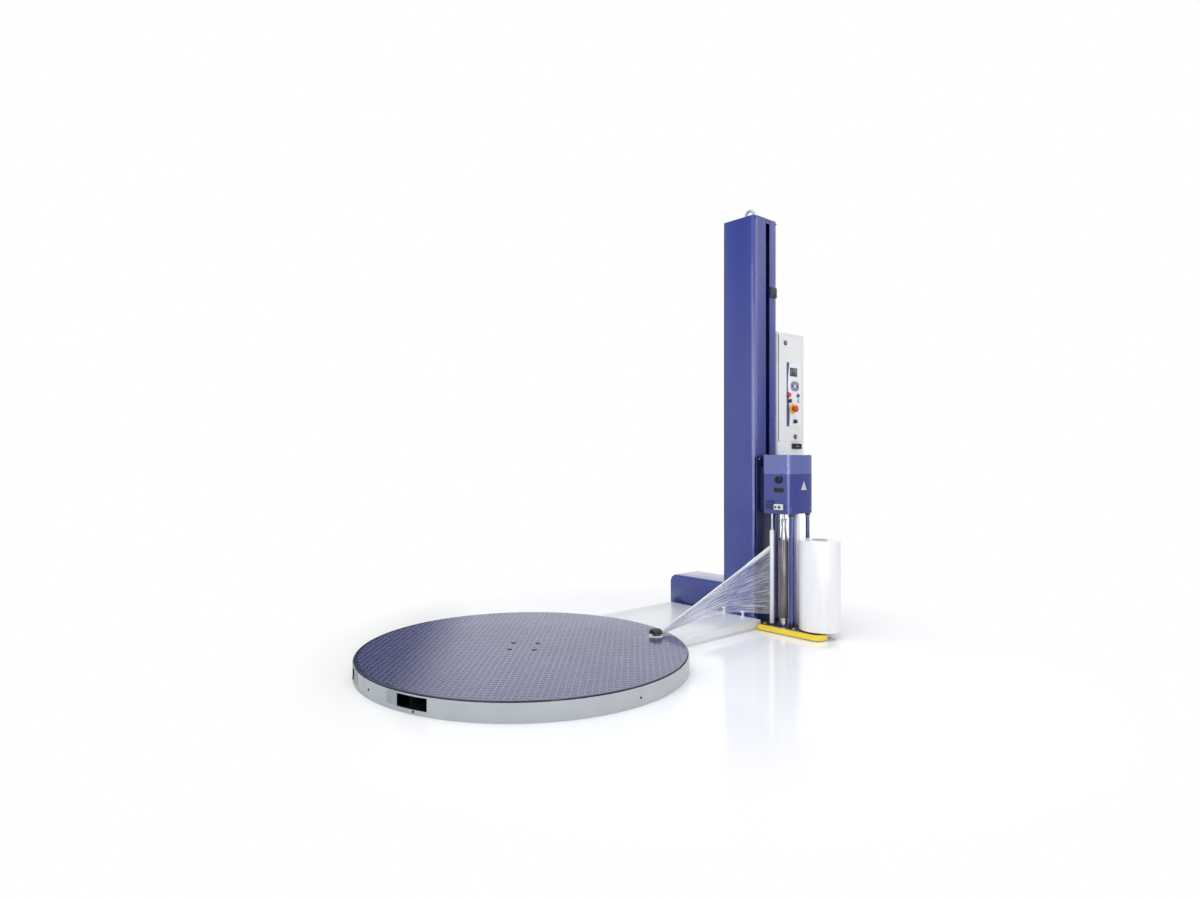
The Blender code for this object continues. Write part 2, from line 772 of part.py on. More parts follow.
def drive_chain():
    middle = SPROCKET_LOW + SPROCKET_THICKNESS / 2
    first, second = (0, 0), (DRIVE_X, DRIVE_Y)
    inner = loop_outline(first, SPROCKET_RADIUS + RUN, second, MOTOR_SPROCKET_RADIUS + RUN)
    reach = RUN + CHAIN_THICKNESS
    outer = loop_outline(first, SPROCKET_RADIUS + reach, second, MOTOR_SPROCKET_RADIUS + reach)
    chain = outline_shape("drive_chain", (outer, inner), middle - CHAIN_WIDTH / 2, middle + CHAIN_WIDTH / 2)
    return finish(chain, "dark steel")


def motor_sprocket():
    """The small sprocket, on the gearbox's shaft."""
    place = (DRIVE_X, DRIVE_Y)
    outline = toothed_outline(place, MOTOR_SPROCKET_RADIUS, MOTOR_SPROCKET_TEETH, TOOTH_DEPTH)
    gear = as_mesh(
        outline_shape("motor_sprocket", (outline,), SPROCKET_LOW, SPROCKET_LOW + SPROCKET_THICKNESS)
    )
    top = FOOT_SEAT + DRIVE_SHAFT_REACH
    join(gear, cylinder_shape("drive_shaft", (*place, 0), DRIVE_SHAFT_RADIUS, BASE_SEAT, top, steps=24))
    return finish(gear, "dark steel")


def support_roller(number, angle):
    """A roller on its axle, which lies along the turntable's radius."""
    half = SUPPORT_ROLLER_WIDTH / 2
    reach = half + RUN + SUPPORT_BRACKET_WALL + 0.002
    edge = SUPPORT_ROLLER_EDGE
    roller = turned_shape(
        f"support_roller_{number}",
        (0, 0, 0),
        (
            (0, reach),
            (SUPPORT_AXLE_RADIUS, reach),
            (SUPPORT_AXLE_RADIUS, half),
            (SUPPORT_ROLLER_RADIUS - edge, half),
            (SUPPORT_ROLLER_RADIUS, half - edge),
            (SUPPORT_ROLLER_RADIUS, -half + edge),
            (SUPPORT_ROLLER_RADIUS - edge, -half),
            (SUPPORT_AXLE_RADIUS, -half),
            (SUPPORT_AXLE_RADIUS, -reach),
            (0, -reach),
        ),
    )
    turn = math.radians(angle)
    roller.location = (SUPPORT_RADIUS * math.cos(turn), SUPPORT_RADIUS * math.sin(turn), SUPPORT_ROLLER_Z)
    roller.rotation_euler = (0, math.pi / 2, turn)
    return finish(roller, "black")


# Turntable


def turntable_disc():
    disc = cylinder_shape("turntable_disc", (0, 0, 0), DISC_RADIUS, DISC_LOW, DISC_TOP, steps=LARGE_STEPS)
    low, high = DISC_LOW - 0.01, DISC_TOP + 0.01
    for x, y in list(arc((0, 0), DISC_BOLT_CIRCLE, 0, 360, 4))[:-1]:
        cut(disc, cylinder_shape("bolt_hole", (x, y, 0), DISC_BOLT_RADIUS, low, high, steps=SMALL_STEPS))
    radius = CLAMP_STEM_RADIUS + RUN
    cut(disc, cylinder_shape("clamp_hole", (CLAMP_X, CLAMP_Y, 0), radius, low, high, steps=16))
    return finish(smooth(disc), "navy")


def turntable_hub():
    """The flange under the disc, with a bore that turns on the pivot."""
    top = DISC_LOW - SEAT
    bore = PIVOT_RADIUS + RUN
    seat = SPROCKET_LOW + SPROCKET_THICKNESS + SEAT
    low = PIVOT_BOSS_TOP + SEAT
    hub = turned_shape(
        "turntable_hub",
        (0, 0, 0),
        (
            (HUB_FLANGE_RADIUS, top),
            (HUB_FLANGE_RADIUS, top - HUB_FLANGE),
            (HUB_SHOULDER_RADIUS, top - HUB_FLANGE),
            (HUB_SHOULDER_RADIUS, seat),
            (HUB_NECK_RADIUS, seat),
            (HUB_NECK_RADIUS, low),
            (bore, low),
            (bore, top),
        ),
        closed=True,
    )
    return finish(hub, "steel")


def turntable_sprocket():
    hole = list(arc((0, 0), HUB_NECK_RADIUS + SEAT, 0, 360, ROUND_STEPS))[:-1]
    teeth = toothed_outline((0, 0), SPROCKET_RADIUS, SPROCKET_TEETH, TOOTH_DEPTH)
    sprocket = outline_shape(
        "turntable_sprocket", (teeth, hole), SPROCKET_LOW, SPROCKET_LOW + SPROCKET_THICKNESS
    )
    return finish(sprocket, "dark steel")


def clamp_washer():
    low = DISC_TOP + SEAT
    high = low + CLAMP_WASHER
    hole = CLAMP_STEM_RADIUS + RUN
    washer = turned_shape(
        "clamp_washer",
        (CLAMP_X, CLAMP_Y, 0),
        ((CLAMP_WASHER_RADIUS - 0.002, high), (CLAMP_WASHER_RADIUS, low), (hole, low), (hole, high)),
        closed=True,
    )
    return finish(washer, "light grey")


def clamp_knob():
    """The film clamp's sprung head, on a stem through the disc."""
    low = DISC_TOP + CLAMP_WASHER + 2 * SEAT
    high = low + CLAMP_KNOB_HEIGHT
    knob = turned_shape(
        "clamp_knob",
        (CLAMP_X, CLAMP_Y, 0),
        (
            (0, high),
            (CLAMP_KNOB_RADIUS * 0.55, high),
            (CLAMP_KNOB_RADIUS * 0.85, high - 0.005),
            (CLAMP_KNOB_RADIUS, high - 0.012),
            (CLAMP_KNOB_RADIUS, low + 0.006),
            (CLAMP_KNOB_RADIUS * 0.7, low),
            (CLAMP_STEM_RADIUS, low),
            (CLAMP_STEM_RADIUS, DISC_LOW - CLAMP_STEM_REACH),
            (0, DISC_LOW - CLAMP_STEM_REACH),
        ),
    )
    return finish(knob, "black")


# Mast


def mast_column():
    """The folded mast tube, with its slot and the two rails that the carriage's wheels run on."""
    low, high = FOOT_SEAT, MAST_TOP - CAP - SEAT
    slot_low_x, slot_high_x = SLOT_X - SLOT_WIDTH / 2, SLOT_X + SLOT_WIDTH / 2
    outside = (MAST_X, MAST_NEAR, low), (MAST_BACK, MAST_FAR, high)
    column = box_shape("mast_column", *outside, MAST_CORNER, 2, 4)
    cut(
        column,
        box_shape(
            "mast_space",
            (MAST_X + MAST_WALL, MAST_NEAR + MAST_WALL, low - 0.1),
            (MAST_BACK - MAST_WALL, MAST_FAR - MAST_WALL, high + 0.1),
            MAST_CORNER - MAST_WALL,
            2,
            4,
        ),
        box_shape(
            "mast_slot",
            (slot_low_x, MAST_NEAR - 0.05, low - 0.1),
            (slot_high_x, MAST_NEAR + 0.010, SLOT_TOP),
        ),
    )
    in_wall = MAST_WALL / 2
    for low_x, high_x in ((MAST_X + in_wall, slot_low_x - 0.001), (slot_high_x + 0.001, MAST_BACK - in_wall)):
        join(column, box_shape("rail", (low_x, RAIL_FRONT_Y, RAIL_LOW), (high_x, RAIL_FRONT_Y + RAIL, high)))
    return finish(smooth(column), "mast blue")


def mast_cap():
    """The top plate, with the lifting eye screwed into it."""
    low = MAST_TOP - CAP
    cap = box_shape("mast_cap", (MAST_X, MAST_NEAR, low), (MAST_BACK, MAST_FAR, MAST_TOP), MAST_CORNER, 2, 4)
    x, y = (MAST_X + MAST_BACK) / 2, (MAST_NEAR + MAST_FAR) / 2
    high = MAST_TOP + EYE_COLLAR_HEIGHT
    radius = EYE_COLLAR_RADIUS
    foot = low + CAP / 2
    collar = turned_shape(
        "eye_collar",
        (x, y, 0),
        ((0, high), (radius - 0.008, high), (radius, high - 0.010), (radius, foot), (0, foot)),
    )
    curve = bpy.data.curves.new("eye_ring", "CURVE")
    curve.dimensions = "3D"
    curve.bevel_depth = EYE_WIRE
    curve.bevel_resolution = 2
    spline = curve.splines.new("POLY")
    points = list(arc((0, 0), EYE_RADIUS, 0, 360, 20))[:-1]
    spline.points.add(len(points) - 1)
    for point, (across, up) in zip(spline.points, points):
        point.co = (0, across, up, 1)
    spline.use_cyclic_u = True
    ring = bpy.data.objects.new("eye_ring", curve)
    ring.location = (x, y, MAST_TOP + EYE_HEIGHT)
    join(cap, collar, as_mesh(ring))
    return finish(smooth(cap), "mast blue")


# Lift drive


def lift_pulley(name, height, low_x, high_x):
    """A belt pulley with low lips, on an axle between two places along X."""
    half = PULLEY_WIDTH / 2
    lip = half + PULLEY_LIP
    lip_radius = PULLEY_RADIUS + 0.0002
    pulley = turned_shape(
        name,
        (SLOT_X, PULLEY_Y, height),
        (
            (0, high_x - SLOT_X),
            (PULLEY_AXLE_RADIUS, high_x - SLOT_X),
            (PULLEY_AXLE_RADIUS, lip),
            (lip_radius, lip),
            (PULLEY_RADIUS, half),
            (PULLEY_RADIUS, -half),
            (lip_radius, -lip),
            (PULLEY_AXLE_RADIUS, -lip),
            (PULLEY_AXLE_RADIUS, low_x - SLOT_X),
            (0, low_x - SLOT_X),
        ),
        "X",
    )
    return finish(pulley, "dark steel")


def lift_belt():
    """The belt round both pulleys, drawn flat and stood up in the plane of its wheels."""
    low, high = (PULLEY_LOW_Z, 0), (PULLEY_HIGH_Z, 0)
    inner = loop_outline(low, PULLEY_RADIUS + RUN, high, PULLEY_RADIUS + RUN)
    outer = loop_outline(low, BELT_OUTER, high, BELT_OUTER)
    belt = outline_shape("lift_belt", (outer, inner), -BELT_WIDTH / 2, BELT_WIDTH / 2)
    belt.rotation_euler = (0, -math.pi / 2, 0)
    belt.location = (SLOT_X, PULLEY_Y, 0)
    return finish(belt, "black")


def lift_gearmotor():
    """Stands on the mast foot, and drives the lower pulley."""
    side = LIFT_BOX_X
    wall = MAST_BACK - MAST_WALL
    box = box_shape(
        "lift_gearmotor",
        (side, PULLEY_Y - LIFT_BOX_HALF_Y, PULLEY_LOW_Z - LIFT_BOX_HALF_Z),
        (wall - 0.002, PULLEY_Y + LIFT_BOX_HALF_Y, PULLEY_LOW_Z + LIFT_BOX_HALF_Z),
        0.004,
        0,
        2,
    )
    place = ((side + wall) / 2, PULLEY_Y, 0)
    radius = LIFT_MOTOR_RADIUS
    join(box, cylinder_shape("lift_motor", place, radius, FOOT_SEAT, PULLEY_LOW_Z, steps=SMALL_STEPS))
    seat = cylinder_shape(
        "shaft_seat",
        (0, PULLEY_Y, PULLEY_LOW_Z),
        PULLEY_AXLE_RADIUS + RUN,
        side - 0.02,
        side + LIFT_SHAFT_SEAT,
        "X",
        SMALL_STEPS,
    )
    cut(box, seat)
    return finish(box, "grey")


def limit_switch():
    low_x, high_y = MAST_X + LIMIT_SWITCH_OFFSET, MAST_NEAR - SEAT
    switch = box_shape(
        "limit_switch",
        (low_x, high_y - LIMIT_SWITCH_DEPTH, LIMIT_SWITCH_LOW),
        (low_x + LIMIT_SWITCH_WIDTH, high_y, LIMIT_SWITCH_LOW + LIMIT_SWITCH_HEIGHT),
        0.0015,
        1,
        2,
    )
    return finish(switch, "black")


# Cabinet


def cabinet_shell():
    low = (MAST_BACK + SEAT, CABINET_NEAR, CABINET_LOW)
    high = (MAST_BACK + CABINET_DEPTH, CABINET_NEAR + CABINET_WIDTH, CABINET_HIGH)
    shell = box_shape("cabinet_shell", low, high, CABINET_CORNER, 2, 4)
    wall = CABINET_WALL
    cut(
        shell,
        box_shape(
            "cabinet_space",
            (low[0] + wall, low[1] + wall, low[2] + wall),
            (high[0] - wall, high[1] - wall, high[2] - wall),
            CABINET_CORNER - wall,
            2,
            4,
        ),
        box_shape(
            "door_opening",
            (DOOR_X - DOOR_GAP, low[1] - 0.05, DOOR_LOW - DOOR_GAP),
            (DOOR_X + DOOR_WIDTH + DOOR_GAP, low[1] + wall + 0.006, DOOR_HIGH + DOOR_GAP),
        ),
    )
    return finish(smooth(shell), "light grey")


def power_socket():
    low_x, high_y = DOOR_X + SOCKET_OFFSET, CABINET_NEAR - SEAT
    socket = box_shape(
        "power_socket",
        (low_x, high_y - SOCKET_DEPTH, SOCKET_LOW),
        (low_x + SOCKET_WIDTH, high_y, SOCKET_LOW + SOCKET_HEIGHT),
        0.004,
        1,
        3,
    )
    return finish(socket, "black")


def stem_hole(x, z, radius):
    low, high = PANEL_FACE - 0.03, CABINET_NEAR + 0.03
    return cylinder_shape("stem_hole", (x, 0, z), radius + RUN, low, high, "Y", SMALL_STEPS)


def cabinet_door():
    door = box_shape(
        "cabinet_door",
        (DOOR_X, CABINET_NEAR, DOOR_LOW),
        (DOOR_X + DOOR_WIDTH, CABINET_NEAR + DOOR_PLATE, DOOR_HIGH),
    )
    panel_hole = box_shape(
        "panel_opening",
        (PANEL_X - SEAT, CABINET_NEAR - 0.05, PANEL_LOW - SEAT),
        (PANEL_X + PANEL_WIDTH + SEAT, CABINET_NEAR + 0.05, PANEL_HIGH + SEAT),
    )
    cut(door, panel_hole)
    for _, x, z in DOOR_LOCKS:
        cut(door, stem_hole(DOOR_X + x, z, LOCK_STEM_RADIUS))
    return finish(door, "light grey")


def control_panel():
    panel = box_shape(
        "control_panel",
        (PANEL_X, PANEL_FACE, PANEL_LOW),
        (PANEL_X + PANEL_WIDTH, PANEL_FACE + PANEL_PLATE, PANEL_HIGH),
    )
    for _, x, z, _, _, stem in PANEL_BUTTONS:
        cut(panel, stem_hole(PANEL_X + x, z, stem))
    cut(panel, stem_hole(PANEL_X + ESTOP_X, ESTOP_Z, ESTOP_STEM_RADIUS))
    return finish(panel, "white")


def display():
    middle, high_y = PANEL_X + DISPLAY_X, PANEL_FACE - SEAT
    plate = box_shape(
        "display",
        (middle - DISPLAY_WIDTH / 2, high_y - CONTROL_PLATE, DISPLAY_Z - DISPLAY_HEIGHT / 2),
        (middle + DISPLAY_WIDTH / 2, high_y, DISPLAY_Z + DISPLAY_HEIGHT / 2),
        0.003,
        1,
        2,
    )
    return finish(plate, "black")


def keypad():
    middle, high_y = PANEL_X + KEYPAD_X, PANEL_FACE - SEAT
    plate = box_shape(
        "keypad",
        (middle - KEYPAD_WIDTH / 2, high_y - CONTROL_PLATE, KEYPAD_Z - KEYPAD_HEIGHT / 2),
        (middle + KEYPAD_WIDTH / 2, high_y, KEYPAD_Z + KEYPAD_HEIGHT / 2),
        KEYPAD_HEIGHT / 2 - 0.001,
        1,
        6,
    )
    return finish(plate, "grey")


def estop():
    """The stop button's fixed collar, and its pressing head."""
    face = PANEL_FACE - SEAT
    out = -face + ESTOP_COLLAR_HEIGHT
    collar = turned_shape(
        "estop_collar",
        (PANEL_X + ESTOP_X, 0, ESTOP_Z),
        (
            (ESTOP_COLLAR_RADIUS - 0.003, out),
            (ESTOP_COLLAR_RADIUS, -face),
            (ESTOP_STEM_RADIUS + RUN, -face),
            (ESTOP_STEM_RADIUS + RUN, out),
        ),
        "-Y",
        closed=True,
    )
    under = out + ESTOP_TRAVEL_GAP
    top = under + ESTOP_HEAD_HEIGHT
    back = -PANEL_FACE - PANEL_PLATE - STEM_REACH
    head = turned_shape(
        "estop_button",
        (PANEL_X + ESTOP_X, 0, ESTOP_Z),
        (
            (0, top),
            (ESTOP_HEAD_RADIUS * 0.7, top - 0.001),
            (ESTOP_HEAD_RADIUS, top - 0.007),
            (ESTOP_HEAD_RADIUS, under + 0.004),
            (ESTOP_STEM_RADIUS, under),
            (ESTOP_STEM_RADIUS, back),
            (0, back),
        ),
        "-Y",
    )
    return finish(collar, "yellow"), finish(head, "red")


def panel_button(name, x, z, radius, stand, stem):
    """A round cap on a stem through the panel."""
    colors = {"red_button": "red", "selector_switch": "black", "speed_knob": "black"}
    face = -PANEL_FACE
    back = face - PANEL_PLATE - STEM_REACH
    gap = RUN if name in ("selector_switch", "speed_knob") else BUTTON_GAP
    button = turned_shape(
        name,
        (PANEL_X + x, 0, z),
        (
            (0, face + stand),
            (radius - 0.001, face + stand),
            (radius, face + stand - 0.001),
            (radius, face + gap),
            (stem, face + gap),
            (stem, back),
            (0, back),
        ),
        "-Y",
        SMALL_STEPS,
    )
    return finish(button, colors.get(name, "grey"))


def door_lock(name, x, z):
    """A quarter-turn lock, with its tongue behind the door."""
    x += DOOR_X
    face = -CABINET_NEAR
    back = face - DOOR_PLATE - RUN
    lock = turned_shape(
        name,
        (x, 0, z),
        (
            (0, face + LOCK_STAND),
            (LOCK_RADIUS - 0.001, face + LOCK_STAND),
            (LOCK_RADIUS, face + LOCK_STAND - 0.001),
            (LOCK_RADIUS, face + RUN),
            (LOCK_STEM_RADIUS, face + RUN),
            (LOCK_STEM_RADIUS, back - LOCK_STEM_REACH),
            (0, back - LOCK_STEM_REACH),
        ),
        "-Y",
        SMALL_STEPS,
    )
    half = LOCK_TONGUE_HALF
    tongue = box_shape(
        "tongue", (x - half, -back, z - half), (x + half, -back + LOCK_TONGUE_THICKNESS, z + LOCK_TONGUE)
    )
    join(lock, tongue)
    return finish(lock, "black")


# Film carriage


def carriage_backplate():
    """The plate in front of the mast, with the head's mount and the neck that reaches the belt."""
    low_x, high_x = MAST_X + BACKPLATE_SIDE, MAST_BACK
    plate = box_shape(
        "carriage_backplate",
        (low_x, BACKPLATE_NEAR, FLOOR_HIGH + SEAT),
        (high_x, BACKPLATE_NEAR + BACKPLATE, HEAD_HIGH - 0.010),
    )
    mount = box_shape(
        "head_mount",
        (HEAD_X + BLOCK_INSET, HEAD_FAR + SEAT, BLOCK_LOW),
        (HEAD_X + HEAD_DEPTH - BLOCK_INSET, BACKPLATE_NEAR + BACKPLATE / 2, BLOCK_HIGH),
    )
    neck = box_shape(
        "neck",
        (SLOT_X - NECK_HALF, BACKPLATE_NEAR + BACKPLATE / 2, BLOCK_LOW),
        (SLOT_X + NECK_HALF, NECK_TIP_Y, BLOCK_HIGH),
    )
    join(plate, mount, neck)
    radius = GUIDE_AXLE_RADIUS + RUN
    for height in (GUIDE_WHEEL_LOW_Z, GUIDE_WHEEL_HIGH_Z):
        place = (0, GUIDE_WHEEL_Y, height)
        cut(plate, cylinder_shape("guide_hole", place, radius, SLOT_X - 0.03, SLOT_X + 0.03, "X"))
    return finish(plate, "black")


def guide_wheels(name, height):
    """Two wheels on one axle, one each side of the mast's slot."""
    outer, inner = GUIDE_WHEEL_OUTER, GUIDE_WHEEL_INNER
    wheels = turned_shape(
        name,
        (SLOT_X, GUIDE_WHEEL_Y, height),
        (
            (0, outer),
            (GUIDE_WHEEL_RADIUS, outer),
            (GUIDE_WHEEL_RADIUS, inner),
            (GUIDE_AXLE_RADIUS, inner),
            (GUIDE_AXLE_RADIUS, -inner),
            (GUIDE_WHEEL_RADIUS, -inner),
            (GUIDE_WHEEL_RADIUS, -outer),
            (0, -outer),
        ),
        "X",
        ROUND_STEPS,
    )
    return finish(wheels, "white")


def head_housing():
    """The head's lower shell, open at the top, with holes in its floor for the roller shafts."""
    low = (HEAD_X, HEAD_NEAR, HEAD_LOW)
    high = (HEAD_X + HEAD_DEPTH, HEAD_FAR, LID_SPLIT)
    shell = box_shape("head_housing", low, high, HEAD_CORNER, 2, 4)
    wall = HEAD_WALL
    cut(
        shell,
        box_shape(
            "head_space",
            (low[0] + wall, low[1] + wall, low[2] + HEAD_FLOOR),
            (high[0] - wall, high[1] - wall, high[2] + 0.1),
            HEAD_CORNER - wall,
            2,
            4,
        ),
    )
    radius = ROLLER_SHAFT_RADIUS + SHAFT_HOLE_GAP
    for _, x, y, *_ in ROLLERS:
        cut(shell, cylinder_shape("shaft_hole", (x, y, 0), radius, HEAD_LOW - 0.01, HEAD_LOW + 0.01))
    place = (0, HEAD_KNOB_Y, HEAD_KNOB_Z)
    radius = HEAD_KNOB_STEM_RADIUS + RUN
    cut(shell, cylinder_shape("knob_hole", place, radius, HEAD_X - 0.02, HEAD_X + 0.02, "X", 16))
    return finish(smooth(shell), "mast blue")


def head_lid():
    low = (HEAD_X, HEAD_NEAR, LID_SPLIT + SEAT)
    high = (HEAD_X + HEAD_DEPTH, HEAD_FAR, HEAD_HIGH)
    lid = box_shape("head_lid", low, high, HEAD_CORNER, 2, 4)
    wall = HEAD_WALL
    cut(
        lid,
        box_shape(
            "lid_space",
            (low[0] + wall, low[1] + wall, low[2] - 0.1),
            (high[0] - wall, high[1] - wall, high[2] - wall),
            HEAD_CORNER - wall,
            2,
            4,
        ),
    )
    return finish(smooth(lid), "mast blue")


def head_knob():
    """The tension knob on the head's front."""
    stand = HEAD_KNOB_STAND
    stem, reach = HEAD_KNOB_STEM_RADIUS, 0.006
    knob = turned_shape(
        "tension_knob",
        (HEAD_X, HEAD_KNOB_Y, HEAD_KNOB_Z),
        (
            (0, reach),
            (stem, reach),
            (stem, -RUN),
            (HEAD_KNOB_RADIUS, -RUN),
            (HEAD_KNOB_RADIUS, -stand + 0.003),
            (HEAD_KNOB_RADIUS - 0.003, -stand),
            (0, -stand),
        ),
        "X",
    )
    return finish(knob, "grey")


def photocell():
    high_x = HEAD_X - SEAT
    cell = box_shape(
        "photocell",
        (high_x - PHOTOCELL_DEPTH, PHOTOCELL_Y - PHOTOCELL_WIDTH / 2, PHOTOCELL_Z - PHOTOCELL_HEIGHT / 2),
        (high_x, PHOTOCELL_Y + PHOTOCELL_WIDTH / 2, PHOTOCELL_Z + PHOTOCELL_HEIGHT / 2),
        0.006,
        0,
        3,
    )
    return finish(cell, "white")


def stretch_motor():
    """The prestretch motor on its mounting plate inside the head."""
    gap = HEAD_WALL + RUN
    plate = box_shape(
        "stretch_motor",
        (HEAD_X + gap, HEAD_NEAR + gap, MOTOR_PLATE_LOW),
        (HEAD_X + HEAD_DEPTH - gap, HEAD_FAR - gap, MOTOR_PLATE_LOW + MOTOR_PLATE),
        HEAD_CORNER - HEAD_WALL,
        2,
        4,
    )
    _, x, y, *_ = STRETCH_REAR
    low, radius = MOTOR_PLATE_LOW + MOTOR_PLATE / 2, STRETCH_MOTOR_RADIUS
    join(plate, cylinder_shape("motor_body", (x, y, 0), radius, low, MOTOR_TOP, steps=SMALL_STEPS))
    return finish(plate, "grey")


def carriage_floor():
    """The plate under the head, the rollers and the film roll."""
    plate = box_shape(
        "carriage_floor",
        (MAST_X + BACKPLATE_SIDE, FLOOR_STEP_NEAR, FLOOR_LOW),
        (FLOOR_BACK, BACKPLATE_NEAR + BACKPLATE, FLOOR_HIGH),
    )
    join(
        plate,
        box_shape(
            "roll_floor",
            (FLOOR_X, FLOOR_NEAR, FLOOR_LOW),
            (FLOOR_X + FLOOR_ROLL_DEPTH, ARM_NEAR - ARM_GAP, FLOOR_HIGH),
            0.020,
            2,
            3,
        ),
    )
    holes = [(x, y, ROLLER_SHAFT_RADIUS + SHAFT_HOLE_GAP, ROUND_STEPS) for _, x, y, *_ in ROLLERS]
    holes += [(BUMPER_PIN_X, y, BUMPER_PIN_RADIUS + RUN, 16) for y in BUMPER_PINS]
    holes.append((ROLL_X, ROLL_Y, MANDREL_STUB_RADIUS + RUN, ROUND_STEPS))
    low, high = FLOOR_LOW - 0.01, FLOOR_HIGH + 0.01
    for x, y, radius, steps in holes:
        cut(plate, cylinder_shape("floor_hole", (x, y, 0), radius, low, high, steps=steps))
    return finish(plate, "navy")


def post(name, x, y, radius):
    shape = cylinder_shape(name, (x, y, 0), radius, FLOOR_HIGH + SEAT, HEAD_LOW - SEAT)
    return finish(smooth(shape), "mast blue")


def film_roller(spec, color, neck=0.0):
    """A roller on a shaft from the floor plate to the head. neck is the height of its upper cone."""
    name, x, y, radius, low, high = spec
    shaft = ROLLER_SHAFT_RADIUS
    top, bottom = HEAD_LOW + ROLLER_SHAFT_TOP, FLOOR_LOW + 0.001
    edge = ROLLER_EDGE
    profile = [(0, top), (shaft, top)]
    if neck:
        profile += [(shaft, high + neck), (radius * 0.45, high + neck), (radius * 0.62, high)]
    else:
        profile += [(shaft, high)]
    profile += [(radius - edge, high), (radius, high - edge), (radius, low + edge), (radius - edge, low)]
    if neck:
        bush, bush_low = radius * 0.8, FLOOR_HIGH + 0.005
        profile += [(bush, low), (bush, bush_low), (shaft, bush_low)]
    else:
        profile += [(shaft, low)]
    profile += [(shaft, bottom), (0, bottom)]
    return finish(turned_shape(name, (x, y, 0), profile, steps=SMALL_STEPS), color)


def stretch_roller(spec, teeth, other, other_teeth, tooth_first):
    """A prestretch roller, with the gear that ties it to the other one."""
    _, x, y, *_ = spec
    away = Vector((other[1] - x, other[2] - y))
    pitch = away.length * teeth / (teeth + other_teeth)
    toward = math.atan2(away.y, away.x)
    phase = toward if tooth_first else toward + math.pi / teeth
    roller = film_roller(spec, "dark steel", STRETCH_NECK)
    teeth_outline = wave_outline((x, y), pitch, teeth, phase)
    gear = as_mesh(outline_shape("gear", (teeth_outline,), GEAR_LOW, GEAR_LOW + GEAR_THICKNESS))
    low, high = HEAD_LOW + ROLLER_SHAFT_TOP - 0.002, GEAR_LOW + 0.002
    shaft = cylinder_shape("gear_shaft", (x, y, 0), ROLLER_SHAFT_RADIUS, low, high, steps=SMALL_STEPS)
    return join(roller, shaft, gear)


def film_roll():
    """The roll of film, its core, and the mandrel that they turn on."""
    low, high = ROLL_LOW, ROLL_LOW + ROLL_HEIGHT
    inner = CORE_RADIUS + CORE_WALL + SEAT
    edge = 0.002
    roll = turned_shape(
        "film_roll",
        (ROLL_X, ROLL_Y, 0),
        (
            (ROLL_RADIUS - edge, high),
            (ROLL_RADIUS, high - edge),
            (ROLL_RADIUS, low + edge),
            (ROLL_RADIUS - edge, low),
            (inner, low),
            (inner, high),
        ),
        steps=32,
        closed=True,
    )
    core = turned_shape(
        "roll_core",
        (ROLL_X, ROLL_Y, 0),
        (
            (CORE_RADIUS + CORE_WALL, high + 0.002),
            (CORE_RADIUS + CORE_WALL, low),
            (CORE_RADIUS, low),
            (CORE_RADIUS, high + 0.002),
        ),
        closed=True,
    )
    flange = low - SEAT
    seat = FLOOR_HIGH + RUN
    stub, bottom = MANDREL_STUB_RADIUS, FLOOR_LOW + 0.001
    radius = CORE_RADIUS - RUN
    mandrel = turned_shape(
        "roll_mandrel",
        (ROLL_X, ROLL_Y, 0),
        (
            (0, MANDREL_TOP),
            (radius * 0.6, MANDREL_TOP),
            (radius, MANDREL_TOP - MANDREL_TAPER),
            (radius, flange),
            (MANDREL_FLANGE_RADIUS, flange),
            (MANDREL_FLANGE_RADIUS, seat),
            (stub, seat),
            (stub, bottom),
            (0, bottom),
        ),
    )
    return finish(roll, "white"), finish(core, "cardboard"), finish(mandrel, "black")


def bumper_bar():
    """The guard bar round the carriage's front corner, hung on two pins through the floor plate."""
    half = BUMPER_WIDTH / 2
    x, near = BUMPER_X, BUMPER_NEAR
    corner = (x + BUMPER_BEND, near + BUMPER_BEND)
    end = corner[0] + BUMPER_RETURN
    outline = [(x + half, BUMPER_START), (x - half, BUMPER_START)]
    outline += arc(corner, BUMPER_BEND + half, 180, 270, 8)
    outline += [(end, near - half), (end, near + half)]
    outline += arc(corner, BUMPER_BEND - half, 270, 180, 6)
    bar = as_mesh(outline_shape("bumper_bar", (outline,), BUMPER_LOW, BUMPER_HIGH))
    half, seat = BUMPER_TAB_HALF, FLOOR_HIGH + SEAT
    pin_profile = (
        (0, seat + BUMPER_HEAD),
        (BUMPER_HEAD_RADIUS, seat + BUMPER_HEAD),
        (BUMPER_HEAD_RADIUS, seat),
        (BUMPER_PIN_RADIUS, seat),
        (BUMPER_PIN_RADIUS, BUMPER_LOW + 0.002),
        (0, BUMPER_LOW + 0.002),
    )
    for y in BUMPER_PINS:
        tab = box_shape("tab", (x, y - half, BUMPER_LOW), (BUMPER_PIN_X + half, y + half, BUMPER_TAB_TOP))
        join(bar, tab, turned_shape("pin", (BUMPER_PIN_X, y, 0), pin_profile))
    return finish(bar, "yellow")


